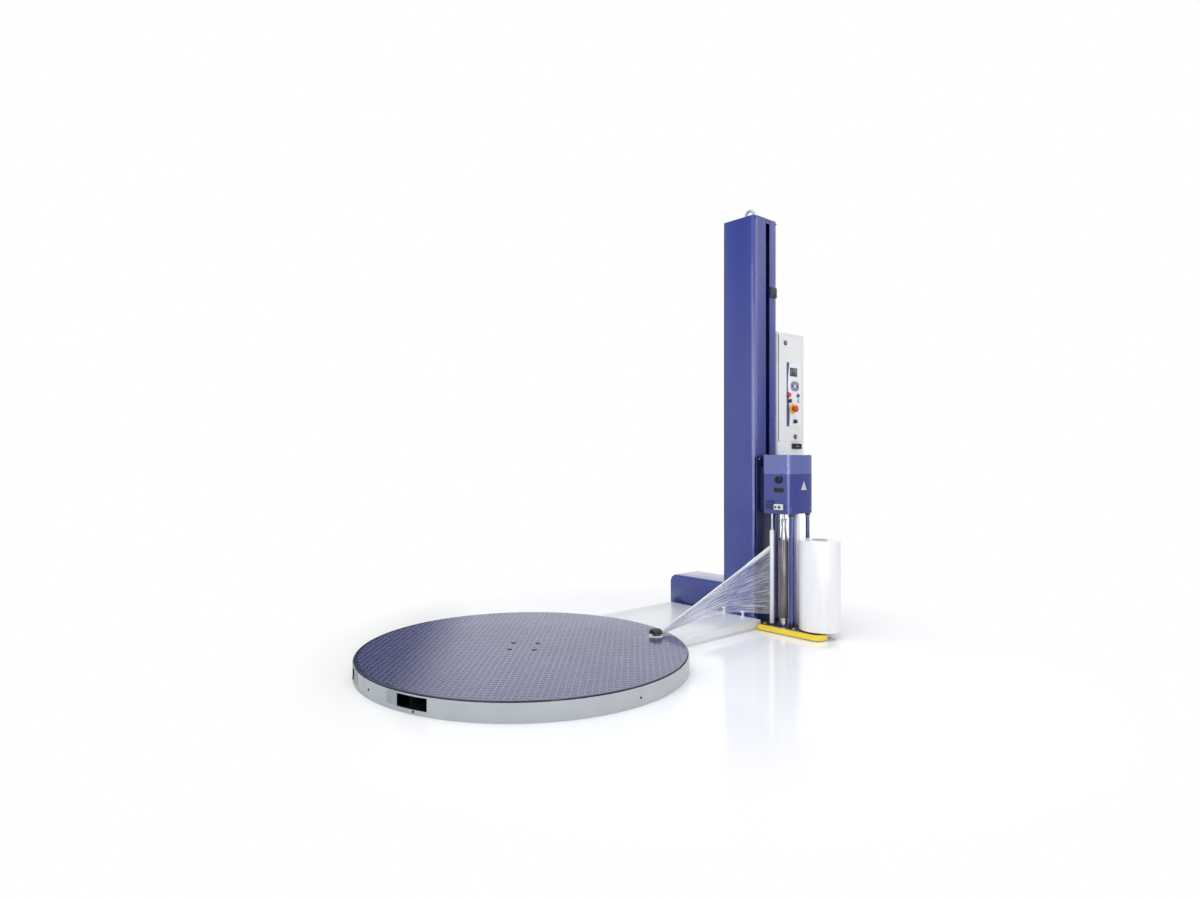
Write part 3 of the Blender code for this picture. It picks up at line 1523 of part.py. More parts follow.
def film_web():
    """The stretched film from the exit roller to the clamp, as a thin wedge."""
    _, roller_x, roller_y, radius, *_ = EXIT_ROLLER
    start = Vector((roller_x - radius - WEB_GAP, roller_y))
    clamp = Vector((CLAMP_X, CLAMP_Y))
    away = (start - clamp).normalized()
    end = clamp + away * (CLAMP_KNOB_RADIUS + WEB_GAP)
    side = Vector((-away.y, away.x)) * WEB_THICKNESS / 2
    bm = bmesh.new()
    bmesh.ops.create_cube(bm, size=1.0)
    for vert in bm.verts:
        place, low, high = (start, WEB_LOW, WEB_HIGH) if vert.co.x > 0 else (end, WEB_END_LOW, WEB_END_HIGH)
        place = place + side * math.copysign(1, vert.co.y)
        vert.co = (place.x, place.y, high if vert.co.z > 0 else low)
    return finish(mesh_object("film_web", bm), "film")


def main():
    base_plate()
    base_ring()
    arm_cover()
    mast_foot()
    motor_cover()
    turntable_gearmotor()
    drive_chain()
    mast_column()
    mast_cap()
    lift_gearmotor()
    lift_belt()
    limit_switch()
    cabinet_shell()
    power_socket()
    film_web()

    for number, angle in enumerate(SUPPORT_ANGLES, 1):
        support_roller(number, angle)
    motor_sprocket()
    axle_low = MAST_X + MAST_WALL + RUN
    lift_pulley("upper_pulley", PULLEY_HIGH_Z, axle_low, MAST_BACK - MAST_WALL - RUN)
    lift_pulley("lower_pulley", PULLEY_LOW_Z, SLOT_X - 0.030, LIFT_BOX_X + LIFT_SHAFT_SEAT - 0.004)

    carried(
        pivot("turntable_axis", (0, 0, 0)),
        turntable_disc(),
        turntable_hub(),
        turntable_sprocket(),
        clamp_washer(),
        clamp_knob(),
    )

    collar, head = estop()
    controls = [panel_button(*button) for button in PANEL_BUTTONS]
    locks = [door_lock(*lock) for lock in DOOR_LOCKS]
    hinge = pivot("door_hinge", (DOOR_X + DOOR_WIDTH + DOOR_GAP / 2, CABINET_NEAR, 0))
    carried(hinge, cabinet_door(), control_panel(), display(), keypad(), collar, head, *controls, *locks)

    carriage = pivot("carriage_lift", (SLOT_X, BACKPLATE_NEAR, 0))
    carried(
        carriage,
        carriage_backplate(),
        head_housing(),
        head_lid(),
        head_knob(),
        photocell(),
        stretch_motor(),
        carriage_floor(),
        bumper_bar(),
        film_roller(EXIT_ROLLER, "white"),
        film_roller(IDLE_ROLLER, "light grey"),
        stretch_roller(STRETCH_FRONT, STRETCH_TEETH_FRONT, STRETCH_REAR, STRETCH_TEETH_REAR, True),
        stretch_roller(STRETCH_REAR, STRETCH_TEETH_REAR, STRETCH_FRONT, STRETCH_TEETH_FRONT, False),
        guide_wheels("guide_wheels_lower", GUIDE_WHEEL_LOW_Z),
        guide_wheels("guide_wheels_upper", GUIDE_WHEEL_HIGH_Z),
        *film_roll(),
        *[post(*spec) for spec in POSTS],
    )


clear_scene()
PIECES = new_collection("turntable_pallet_wrapper")
HELPERS = new_collection("helpers", hidden=True)
main()
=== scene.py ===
import json
import math

import bmesh
import bpy
from mathutils import Matrix, Vector


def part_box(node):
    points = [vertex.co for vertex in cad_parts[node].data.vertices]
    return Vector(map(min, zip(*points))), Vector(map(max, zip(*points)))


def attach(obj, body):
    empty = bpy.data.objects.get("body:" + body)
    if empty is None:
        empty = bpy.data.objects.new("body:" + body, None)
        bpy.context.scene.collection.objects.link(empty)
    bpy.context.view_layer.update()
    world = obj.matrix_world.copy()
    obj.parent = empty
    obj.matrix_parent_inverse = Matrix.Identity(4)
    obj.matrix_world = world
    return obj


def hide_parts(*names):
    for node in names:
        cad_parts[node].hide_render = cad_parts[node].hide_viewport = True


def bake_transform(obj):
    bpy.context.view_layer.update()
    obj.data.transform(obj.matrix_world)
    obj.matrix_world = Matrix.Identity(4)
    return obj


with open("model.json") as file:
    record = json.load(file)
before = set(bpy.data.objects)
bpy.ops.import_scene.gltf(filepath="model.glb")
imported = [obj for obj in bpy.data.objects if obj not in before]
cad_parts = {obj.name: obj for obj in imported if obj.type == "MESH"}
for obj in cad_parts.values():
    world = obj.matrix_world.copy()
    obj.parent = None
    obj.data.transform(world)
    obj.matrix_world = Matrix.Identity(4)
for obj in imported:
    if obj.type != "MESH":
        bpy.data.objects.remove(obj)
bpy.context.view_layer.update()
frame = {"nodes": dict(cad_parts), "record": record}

scene = bpy.context.scene
scene.world = scene.world or bpy.data.worlds.new("studio")
nodes = frame["nodes"]
bodyOf = {node: body for body, members in frame["record"]["behaviour"]["bodies"].items() for node in members}
slotOf = {row["node"]: row["material_slot"] for row in frame["record"]["subparts"]}
seat = 0.0003  # what lies between two touching pieces
up = (0, 0, 1)
front = (0, -1, 0)  # the side that has the controls
left = (-1, 0, 0)  # the side that faces the turntable


# camera

viewpoint = {"place": (-1.9875, -2.7075, 0.9521), "turn": -40.75, "lens": 21.73, "shift": (0.0163, 0.0065)}


def addCamera():
    data = bpy.data.cameras.new("camera")
    data.lens = viewpoint["lens"]
    data.sensor_width = 36
    data.shift_x, data.shift_y = viewpoint["shift"]
    data.clip_end = 60
    camera = bpy.data.objects.new("camera", data)
    camera.location = viewpoint["place"]
    camera.rotation_euler = (math.radians(90), 0, math.radians(viewpoint["turn"]))
    scene.collection.objects.link(camera)
    scene.camera = camera


# node helpers


def hexColor(text):
    channels = [int(text[i : i + 2], 16) / 255 for i in (1, 3, 5)]
    linear = [c / 12.92 if c <= 0.04045 else ((c + 0.055) / 1.055) ** 2.4 for c in channels]
    return (*linear, 1.0)


# sets a socket to a value, or links another socket to it
def feed(tree, socket, value):
    if isinstance(value, bpy.types.NodeSocket):
        tree.links.new(value, socket)
    else:
        socket.default_value = hexColor(value) if isinstance(value, str) else value


def addNode(tree, kind, inputs=None, **settings):
    node = tree.nodes.new(kind)
    for key, value in settings.items():
        setattr(node, key, value)
    for key, value in (inputs or {}).items():
        feed(tree, node.inputs[key], value)
    return node


def calculate(tree, operation, first, second=0.5, clamp=False):
    inputs = {0: first, 1: second}
    return addNode(tree, "ShaderNodeMath", inputs, operation=operation, use_clamp=clamp).outputs[0]


def times(tree, first, second, clamp=False):
    return calculate(tree, "MULTIPLY", first, second, clamp)


def plus(tree, first, second, clamp=False):
    return calculate(tree, "ADD", first, second, clamp)


def mixColor(tree, factor, first, second):
    inputs = {0: factor, 6: first, 7: second}
    return addNode(tree, "ShaderNodeMix", inputs, data_type="RGBA").outputs[2]


def rescale(tree, value, low, high, toLow=0.0, toHigh=1.0, kind="LINEAR"):
    inputs = {"Value": value, "From Min": low, "From Max": high, "To Min": toLow, "To Max": toHigh}
    return addNode(tree, "ShaderNodeMapRange", inputs, interpolation_type=kind).outputs["Result"]


def objectPlace(tree, scale=(1, 1, 1), turn=(0, 0, 0), shift=(0, 0, 0)):
    where = addNode(tree, "ShaderNodeTexCoord").outputs["Object"]
    inputs = {"Vector": where, "Scale": scale, "Rotation": turn, "Location": shift}
    return addNode(tree, "ShaderNodeMapping", inputs).outputs["Vector"]


def addNoise(tree, where, scale, detail=2.0, roughness=0.5):
    inputs = {"Vector": where, "Scale": scale, "Detail": detail, "Roughness": roughness}
    return addNode(tree, "ShaderNodeTexNoise", inputs).outputs["Fac"]


def splitUp(tree, vector):
    return addNode(tree, "ShaderNodeSeparateXYZ", {0: vector}).outputs


def joinUp(tree, x, y):
    return addNode(tree, "ShaderNodeCombineXYZ", {0: x, 1: y}).outputs[0]


def measureVector(tree, operation, *vectors):
    return addNode(tree, "ShaderNodeVectorMath", dict(enumerate(vectors)), operation=operation).outputs["Value"]


def faceNormal(tree):
    return addNode(tree, "ShaderNodeNewGeometry").outputs["Normal"]


def startGroup(name, inputs, outputs):
    group = bpy.data.node_groups.new(name, "ShaderNodeTree")
    for socket, value in inputs.items():
        made = group.interface.new_socket(socket, in_out="INPUT", socket_type="NodeSocketFloat")
        made.default_value = value
    for socket in outputs:
        group.interface.new_socket(socket, in_out="OUTPUT", socket_type="NodeSocketFloat")
    return group, group.nodes.new("NodeGroupInput").outputs, group.nodes.new("NodeGroupOutput").inputs


def useGroup(tree, group, **values):
    node = tree.nodes.new("ShaderNodeGroup")
    node.node_tree = group
    for key, value in values.items():
        node.inputs[key].default_value = value
    return node.outputs


# effects that several materials share


def makeCoatGrain():
    group, given, result = startGroup("coatGrain", {"Fineness": 900, "Cloud": 6}, ("Height", "Mottle"))
    feed(group, result["Height"], addNoise(group, objectPlace(group), given["Fineness"], 1.5))
    broad = addNoise(group, objectPlace(group), given["Cloud"], 4, 0.6)
    feed(group, result["Mottle"], rescale(group, broad, 0.32, 0.68))
    return group


# Lighter edges: a painted highlight along rounded edges, broken up with noise like light wear.
def makeEdgeWearAndHighlight():
    group, given, result = startGroup("edgeWearAndHighlight", {"Width": 0.0015, "Amount": 0.5}, ("Mask",))
    rounded = addNode(group, "ShaderNodeBevel", {"Radius": given["Width"]}, samples=4).outputs["Normal"]
    edge = rescale(group, measureVector(group, "DOT_PRODUCT", rounded, faceNormal(group)), 0.995, 0.90)
    broken = rescale(group, addNoise(group, objectPlace(group), 45, 3), 0.40, 0.62)
    strength = times(group, edge, broken)
    feed(group, result["Mask"], times(group, strength, given["Amount"], True))
    return group


def makeFloorDust():
    group, given, result = startGroup("floorDust", {"Reach": 0.25, "Amount": 0.3}, ("Mask",))
    where = objectPlace(group)
    share = calculate(group, "DIVIDE", splitUp(group, where)["Z"], given["Reach"])
    fade = calculate(group, "SUBTRACT", 1.0, share, True)
    lying = rescale(group, splitUp(group, faceNormal(group))["Z"], 0.6, 1.0, 0.0, 0.5)
    patch = rescale(group, addNoise(group, where, 22, 6, 0.65), 0.35, 0.75)
    total = times(group, plus(group, fade, lying), patch)
    feed(group, result["Mask"], times(group, total, given["Amount"], True))
    return group


def makeSlimScratch():
    group, given, result = startGroup("slimScratch", {"Count": 60, "Amount": 0.3}, ("Mask",))
    marks = []
    for turn, stretch in (((0, 0.4, 0.3), (1, 18, 1)), ((0.5, 0, 1.9), (16, 1, 1))):
        noise = addNoise(group, objectPlace(group, stretch, turn), given["Count"])
        marks.append(rescale(group, noise, 0.70, 0.76))
    both = calculate(group, "MAXIMUM", *marks)
    feed(group, result["Mask"], times(group, both, given["Amount"], True))
    return group


coatGrain = makeCoatGrain()
edgeWearAndHighlight = makeEdgeWearAndHighlight()
floorDust = makeFloorDust()
slimScratch = makeSlimScratch()


# materials


def startMaterial(name, color, roughness, metallic=0.0, coat=0.0, coatRoughness=0.1):
    material = bpy.data.materials.new(name)
    material.use_nodes = True
    material.diffuse_color = hexColor(color)
    tree = material.node_tree
    sockets = tree.nodes["Principled BSDF"].inputs
    feed(tree, sockets["Base Color"], color)
    feed(tree, sockets["Roughness"], roughness)
    feed(tree, sockets["Metallic"], metallic)
    feed(tree, sockets["Coat Weight"], coat)
    feed(tree, sockets["Coat Roughness"], coatRoughness)
    return material, tree, sockets


def finishMaterial(tree, sockets, color, roughness=None, height=None, distance=0.0):
    feed(tree, sockets["Base Color"], color)
    if roughness:
        feed(tree, sockets["Roughness"], roughness)
    if height:
        bump = addNode(tree, "ShaderNodeBump", {"Height": height, "Distance": distance})
        feed(tree, sockets["Normal"], bump.outputs["Normal"])


# Powder coat, as the sheet metal has. rub lightens the edges towards the tint, a painted highlight with some
# wear.
# inside is a radius and a painted shade colour within it, for the dark under the table, and side is a painted
# shade colour for the faces that stand upright.
def makePaint(
    name, color, shade, roughness, coat=0.4, grain=0.00006, rub=0.5, wearAndHighlightTint="#b9bdcc", dust=0.25, clear=0.1,
    shadeUnderTable=None, side=None,
):
    material, tree, sockets = startMaterial(name, color, roughness, 0, coat, clear)
    film = useGroup(tree, coatGrain, Fineness=700, Cloud=3.5)
    dustMask = useGroup(tree, floorDust, Reach=0.22, Amount=dust)["Mask"]
    base = mixColor(tree, film["Mottle"], color, shade)
    # edges lightened towards the tint: painted highlight with some wear; the scratches take the same tint
    base = mixColor(tree, useGroup(tree, edgeWearAndHighlight, Width=0.0014, Amount=rub)["Mask"], base, wearAndHighlightTint)
    base = mixColor(tree, useGroup(tree, slimScratch, Count=45, Amount=0.04)["Mask"], base, wearAndHighlightTint)
    base = mixColor(tree, dustMask, base, "#a9a79f")
    # painted shade: within the radius the colour turns to the dark under the table
    if shadeUnderTable:
        away = measureVector(tree, "LENGTH", objectPlace(tree, (1, 1, 0)))
        base = mixColor(tree, calculate(tree, "LESS_THAN", away, shadeUnderTable[0]), base, shadeUnderTable[1])
    # painted shade: faces that stand upright take the darker side colour
    if side:
        level = splitUp(tree, faceNormal(tree))["Z"]
        base = mixColor(tree, calculate(tree, "LESS_THAN", level, 0.6), base, side)
    rough = rescale(tree, film["Mottle"], 0, 1, roughness * 0.85, roughness * 1.15)
    rough = plus(tree, rough, times(tree, dustMask, 0.35), True)
    finishMaterial(tree, sockets, base, rough, film["Height"], grain)
    return material


# Turned, ground or plated steel.
def makeMetal(name, color, shade, roughness):
    material, tree, sockets = startMaterial(name, color, roughness, 1.0)
    cloud = useGroup(tree, coatGrain, Fineness=300, Cloud=25)["Mottle"]
    scratch = useGroup(tree, slimScratch, Count=120, Amount=0.5)["Mask"]
    base = mixColor(tree, scratch, mixColor(tree, cloud, color, shade), "#e6e7ea")
    rough = rescale(tree, cloud, 0, 1, roughness * 0.8, roughness * 1.3)
    lines = addNoise(tree, objectPlace(tree, (600, 600, 40)), 1)
    finishMaterial(tree, sockets, base, rough, lines, 0.00002)
    return material


def makePlastic(name, color, shade, roughness, grain=0.00004, coat=0.0):
    material, tree, sockets = startMaterial(name, color, roughness, 0, coat)
    cloud = useGroup(tree, coatGrain, Fineness=1600, Cloud=30)
    # lighter edges: painted highlight with some wear
    wearAndHighlightMask = useGroup(tree, edgeWearAndHighlight, Width=0.0008, Amount=0.25)["Mask"]
    base = mixColor(tree, wearAndHighlightMask, mixColor(tree, cloud["Mottle"], color, shade), "#c9cbd0")
    rough = rescale(tree, cloud["Mottle"], 0, 1, roughness * 0.85, roughness * 1.2)
    finishMaterial(tree, sockets, base, rough, cloud["Height"], grain)
    return material


# White overlay with a plain wavy band down its left side.
def makePanelPaint():
    material, tree, sockets = startMaterial("panelOverlay", "#eff0f4", 0.34, 0, 0.3)
    where = splitUp(tree, objectPlace(tree))
    wave = calculate(tree, "SINE", times(tree, where["Z"], 17.0))
    edge = plus(tree, times(tree, wave, 0.010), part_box("control_panel")[0].x + 0.020)
    cloud = useGroup(tree, coatGrain, Fineness=1200, Cloud=18)
    white = mixColor(tree, cloud["Mottle"], "#f2f3f6", "#e9eaef")
    base = mixColor(tree, calculate(tree, "LESS_THAN", where["X"], edge), white, "#4f4c80")
    rough = rescale(tree, cloud["Mottle"], 0, 1, 0.30, 0.40)
    finishMaterial(tree, sockets, base, rough, cloud["Height"], 0.00003)
    return material


# Many layers of clear film: faint rings on the ends, and fine bands round the side.
def makeWoundFilm():
    middle = sum(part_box("film_roll"), Vector()) / 2
    material, tree, sockets = startMaterial("woundFilm", "#f2f2f3", 0.22, 0, 0.4, 0.1)
    where = objectPlace(tree, shift=(-middle.x, -middle.y, 0))
    parts = splitUp(tree, where)
    radius = measureVector(tree, "LENGTH", joinUp(tree, parts["X"], parts["Y"]))
    inputs = {"Vector": joinUp(tree, radius, parts["Z"]), "Scale": (900, 1.1, 1)}
    layers = addNoise(tree, addNode(tree, "ShaderNodeMapping", inputs).outputs[0], 1, 4)
    slow = times(tree, addNoise(tree, where, 9, 3), 0.18)
    base = mixColor(tree, slow, mixColor(tree, layers, "#f7f7f7", "#ececee"), "#e4e5eb")
    finishMaterial(tree, sockets, base, rescale(tree, layers, 0.3, 0.7, 0.16, 0.34), layers, 0.00006)
    return material


# Clear film with creases that fan out of the clamp. Its UV map runs along the film and across it.
def makeStretchedFilm():
    thin, dense = 0.12, 0.93
    material, tree, sockets = startMaterial("stretchedFilm", "#f4f5fb", 0.16, 0, 0.4, 0.05)
    parts = splitUp(tree, addNode(tree, "ShaderNodeTexCoord").outputs["UV"])
    creases = []
    for along, across, slant in ((3.0, 70.0, 0.10), (7.0, 150.0, -0.05), (2.0, 28.0, 0.22)):
        shear = plus(tree, parts["Y"], times(tree, parts["X"], slant))
        run = times(tree, parts["X"], along)
        creases.append(addNoise(tree, joinUp(tree, run, times(tree, shear, across)), 1, 3, 0.6))
    streak = rescale(tree, times(tree, creases[0], creases[1]), 0.20, 0.36)
    broad = times(tree, rescale(tree, creases[2], 0.40, 0.65), 0.18)
    veil = plus(tree, times(tree, streak, 0.50), broad)
    gathered = rescale(tree, parts["X"], 0.60, 0.06, 0.0, 0.85)  # denser towards the clamp
    folded = rescale(tree, parts["Y"], 0.915, 0.955, 0.0, 0.85)  # and at the folded upper edge
    total = plus(tree, plus(tree, veil, gathered), folded)
    alpha = plus(tree, total, thin)
    feed(tree, sockets["Alpha"], calculate(tree, "MINIMUM", alpha, dense))
    base = mixColor(tree, calculate(tree, "MAXIMUM", streak, folded), "#d3d7ea", "#ffffff")
    finishMaterial(tree, sockets, base, None, plus(tree, creases[0], creases[2]), 0.0012)
    return material


def makeCardboard():
    material, tree, sockets = startMaterial("coreBoard", "#dcd8cf", 0.8)
    inputs = {"Vector": objectPlace(tree, turn=(0, 0.6, 0)), "Scale": 12, "Distortion": 0.6, "Detail": 1}
    wraps = times(tree, addNode(tree, "ShaderNodeTexWave", inputs).outputs["Fac"], 0.3)
    fibre = addNoise(tree, objectPlace(tree, (1, 1, 4)), 260, 4)
    base = mixColor(tree, wraps, mixColor(tree, fibre, "#e4e0d8", "#cbc5b8"), "#b9b2a2")
    finishMaterial(tree, sockets, base, None, fibre, 0.00015)
    return material


def makeScreenGlass():
    material, tree, sockets = startMaterial("screenGlass", "#39423f", 0.08, 0, 0.8, 0.03)
    where = objectPlace(tree)
    base = mixColor(tree, addNoise(tree, where, 30, 1), "#4b5652", "#2a3130")
    finishMaterial(tree, sockets, base, rescale(tree, addNoise(tree, where, 120, 4), 0.4, 0.7, 0.06, 0.16))
    return material


# Polyurethane sleeve with a faint ground grain round it.
def makeSleeveRubber():
    material, tree, sockets = startMaterial("sleeveRubber", "#5a5358", 0.20, 0, 0.9, 0.08)
    rings = addNoise(tree, objectPlace(tree, (4, 4, 700)), 1, 3)
    base = mixColor(tree, useGroup(tree, coatGrain, Fineness=500, Cloud=12)["Mottle"], "#655d60", "#4c464a")
    finishMaterial(tree, sockets, base, rescale(tree, rings, 0.3, 0.7, 0.14, 0.26), rings, 0.00006)
    return material


bluePaint = makePaint(
    "mastPaint", "#25378c", "#213283", 0.28, coat=0.8, rub=0.30, wearAndHighlightTint="#8e9ad6", dust=0.06, clear=0.04
)
# the lid's paint is a lighter copy of the mast blue: painted reflection on the glossy lid
lidPaint = makePaint(
    "lidPaint", "#5f6bae", "#5864a4", 0.22, coat=1.0, rub=0.25, wearAndHighlightTint="#a9b3e2", dust=0.04, clear=0.04
)
navyPaint = makePaint("navyPaint", "#141b4e", "#101644", 0.36, coat=0.1, rub=0.08, wearAndHighlightTint="#7f88b8", dust=0.02)
# side darkens the disc's rim: painted shade on its upright faces
deckPaint = makePaint(
    "deckPaint", "#131a4c", "#0f1542", 0.22, coat=0.55, rub=0.0, wearAndHighlightTint="#7f88b8", dust=0.02, clear=0.06,
    side="#050934",
)
# a lighter copy of the deck blue: painted highlight where the raised marks catch the light
treadLitPaint = makePaint("treadLitPaint", "#323d88", "#2a347c", 0.17, coat=1.0, rub=0.15, wearAndHighlightTint="#9aa2cf", dust=0.02)
greyPaint = makePaint("basePaint", "#e4e6e8", "#dcdfe1", 0.34, coat=0.35, rub=0.3, wearAndHighlightTint="#f8f9f9", dust=0.14)
cabinetPaint = makePaint(
    "cabinetPaint", "#ebecec", "#e4e5e6", 0.36, coat=0.3, rub=0.3, wearAndHighlightTint="#f6f7f8", dust=0.05
)
# the near-black inside the ring is painted shade, seen through the fork pockets
platePaint = makePaint(
    "platePaint", "#dcdee1", "#d3d5d9", 0.45, coat=0.2, rub=0.2, wearAndHighlightTint="#f0f1f2", dust=0.1,
    shadeUnderTable=(0.752, "#141519"),
)
# a darker copy of the base grey: painted shade on the ring
ringPaint = makePaint("ringPaint", "#b0b6ba", "#a5abb0", 0.34, rub=0.4, wearAndHighlightTint="#eff1f2", dust=0.22)
blackPaint = makePaint("plateBlack", "#17181c", "#101114", 0.42, coat=0.15, wearAndHighlightTint="#6b6d72")
yellowPaint = makePaint("guardPaint", "#f8df33", "#f1d326", 0.34, rub=0.35, wearAndHighlightTint="#fff9c4", dust=0.08)
rollerWhite = makePaint("rollerWhite", "#efeff1", "#e3e4e8", 0.24, coat=0.5, rub=0.2, dust=0.1)
castMetal = makePaint("castGrey", "#6b7076", "#565b61", 0.5, coat=0.1, grain=0.0003)
castGalvanised = makePaint("galvanised", "#b9bcc0", "#a6aaaf", 0.40, coat=0.15, grain=0.0002, wearAndHighlightTint="#dfe1e4")
zincMetal = makeMetal("zincPlate", "#b4b7bd", "#9a9da5", 0.28)
darkMetal = makeMetal("oiledSteel", "#434349", "#2d2d33", 0.36)
blackPlastic = makePlastic("blackMoulding", "#141519", "#1c1d21", 0.38)
whitePlastic = makePlastic("whiteMoulding", "#e6e7ea", "#d9dade", 0.36)
greyPlastic = makePlastic("greyMoulding", "#8b9097", "#7b8088", 0.42)
redPlastic = makePlastic("stopRed", "#cf1f16", "#b8170f", 0.22, 0.00002, 0.4)
collarYellow = makePlastic("collarYellow", "#efc61c", "#e0b714", 0.30, 0.00003, 0.3)
bluePlastic = makePlastic("keyBlue", "#3a4f9e", "#32448c", 0.34)
labelGrey = makePlastic("blankLabel", "#9aa0a6", "#92989e", 0.45)
paleLabel = makePlastic("paleLabel", "#c9ccd0", "#c2c5ca", 0.42)
beltRubber = makePlastic("beltRubber", "#15151a", "#1d1d22", 0.7, 0.0002)
panelOverlay = makePanelPaint()
woundFilm = makeWoundFilm()
stretchedFilm = makeStretchedFilm()
coreBoard = makeCardboard()
screenGlass = makeScreenGlass()
sleeveRubber = makeSleeveRubber()
print("materials ready")

# a finish is a material and the record's slot that it stands for
zinc = (zincMetal, "bright_steel")
oiled = (darkMetal, "dark_steel")
moulded = (blackPlastic, "black_plastic")


# mesh helpers


def camel(node):
    first, *rest = node.split("_")
    return first + "".join(word.capitalize() for word in rest)


# a CAD node's lowest corner, highest corner, middle and half width
def measure(node):
    low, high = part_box(node)
    return low, high, (low + high) / 2, (high.x - low.x) / 2


def placePiece(name, bm, material, slotName, body, replaced=(), angle=35, rounding=0.0, steps=2):
    mesh = bpy.data.meshes.new(name)
    bm.to_mesh(mesh)
    bm.free()
    mesh.materials.clear()
    mesh.materials.append(material)
    mesh.shade_smooth()
    mesh.set_sharp_from_angle(angle=math.radians(angle))
    piece = bpy.data.objects.new(name, mesh)
    scene.collection.objects.link(piece)
    if rounding:
        bevel = piece.modifiers.new("rounding", "BEVEL")
        bevel.width = rounding
        bevel.segments = steps
        bevel.limit_method = "ANGLE"
        bevel.angle_limit = math.radians(angle)
        bevel.harden_normals = True
    if body:
        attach(piece, body)
    if replaced:
        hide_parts(*replaced)
    return piece


# a part closed, turned outwards, moved into place and put in with the rest
def addPart(bm, part, matrix=None):
    bmesh.ops.remove_doubles(part, verts=part.verts, dist=0.000002)
    bmesh.ops.recalc_face_normals(part, faces=part.faces)
    if matrix:
        part.transform(matrix)
    mesh = bpy.data.meshes.new("part")
    part.to_mesh(mesh)
    part.free()
    bm.from_mesh(mesh)
    bpy.data.meshes.remove(mesh)


def towards(place, direction):
    turn = Vector(up).rotation_difference(Vector(direction)).to_matrix().to_4x4()
    return Matrix.Translation(place) @ turn


def roundOff(bm, edges, offset, segments):
    bmesh.ops.bevel(bm, geom=edges, offset=offset, segments=segments, profile=0.5, affect="EDGES", material=-1)


def makeCube(low, high):
    part = bmesh.new()
    place = Matrix.Translation((low + high) / 2) @ Matrix.Diagonal((*(high - low), 1))
    bmesh.ops.create_cube(part, size=1, matrix=place)
    return part


# along, when given, is the only axis whose edges are rounded
def addBlock(bm, low, high, rounding, steps=3, along=None):
    part = makeCube(Vector(low), Vector(high))
    edges = part.edges[:]
    if along is not None:
        edges = [e for e in edges if abs((e.verts[0].co - e.verts[1].co).normalized()[along]) > 0.9]
    roundOff(part, edges, rounding, steps)
    addPart(bm, part)


# profile is (radius, height) pairs, the height measured along direction from place
def addTurned(bm, profile, place, direction=up, steps=48, lobes=0, lobeDepth=0.0):
    part = bmesh.new()
    verts = [part.verts.new((radius, 0, height)) for radius, height in profile]
    edges = [part.edges.new(pair) for pair in zip(verts, verts[1:])]
    bmesh.ops.spin(part, geom=verts + edges, axis=up, angle=math.tau, steps=steps, use_merge=True)
    if lobes:
        for vert in part.verts:
            swell = 1 + lobeDepth * (math.cos(lobes * math.atan2(vert.co.y, vert.co.x)) - 1) / 2
            vert.co.x *= swell
            vert.co.y *= swell
    addPart(bm, part, towards(place, direction))


def addRing(bm, radius, wire, place, direction, steps, sides):
    part = bmesh.new()
    upright = Matrix.Translation((radius, 0, 0)) @ Matrix.Rotation(math.pi / 2, 4, "X")
    bmesh.ops.create_circle(part, segments=sides, radius=wire, matrix=upright)
    around = part.verts[:] + part.edges[:]
    bmesh.ops.spin(part, geom=around, axis=up, angle=math.tau, steps=steps, use_merge=True)
    addPart(bm, part, towards(place, direction))


# an even-sided flat shape raised by height, its rim a little smaller at the top
def addRaised(bm, sides, across, height, matrix, top=1.0):
    part = bmesh.new()
    spread = Matrix.Diagonal((*across, 1, 1))
    bmesh.ops.create_circle(part, segments=sides, radius=1, cap_ends=True, matrix=spread)
    made = bmesh.ops.extrude_face_region(part, geom=part.faces[:])
    raised = [item for item in made["geom"] if isinstance(item, bmesh.types.BMVert)]
    bmesh.ops.scale(part, verts=raised, vec=(top, top, 1))
    bmesh.ops.translate(part, verts=raised, vec=(0, 0, height))
    addPart(bm, part, matrix)


# a screw head with a round socket
def addScrew(bm, place, direction, radius, height):
    profile = ((0, height * 0.35), (radius * 0.5, height * 0.35), (radius * 0.55, height))
    profile += ((radius * 0.85, height), (radius, height * 0.7), (radius, 0), (0, 0))
    addTurned(bm, profile, place, direction, 20)


# one turned piece
def turnPiece(name, profile, place, finish, body, replaced=(), angle=35, direction=up, steps=48, **lobes):
    bm = bmesh.new()
    addTurned(bm, profile, place, direction, steps, **lobes)
    return placePiece(name, bm, *finish, body, replaced, angle)


# a CAD node's own shape, merged, smoothed and with its edges broken
def refine(node, material, rounding=0.0008, steps=2, angle=32):
    bm = bmesh.new()
    bm.from_mesh(nodes[node].data)
    bmesh.ops.remove_doubles(bm, verts=bm.verts, dist=0.000002)
    bmesh.ops.dissolve_limit(bm, angle_limit=math.radians(0.4), verts=bm.verts, edges=bm.edges)
    name = camel(node) + "Finish"
    return placePiece(name, bm, material, slotOf[node], bodyOf[node], (node,), angle, rounding, steps)


# studio

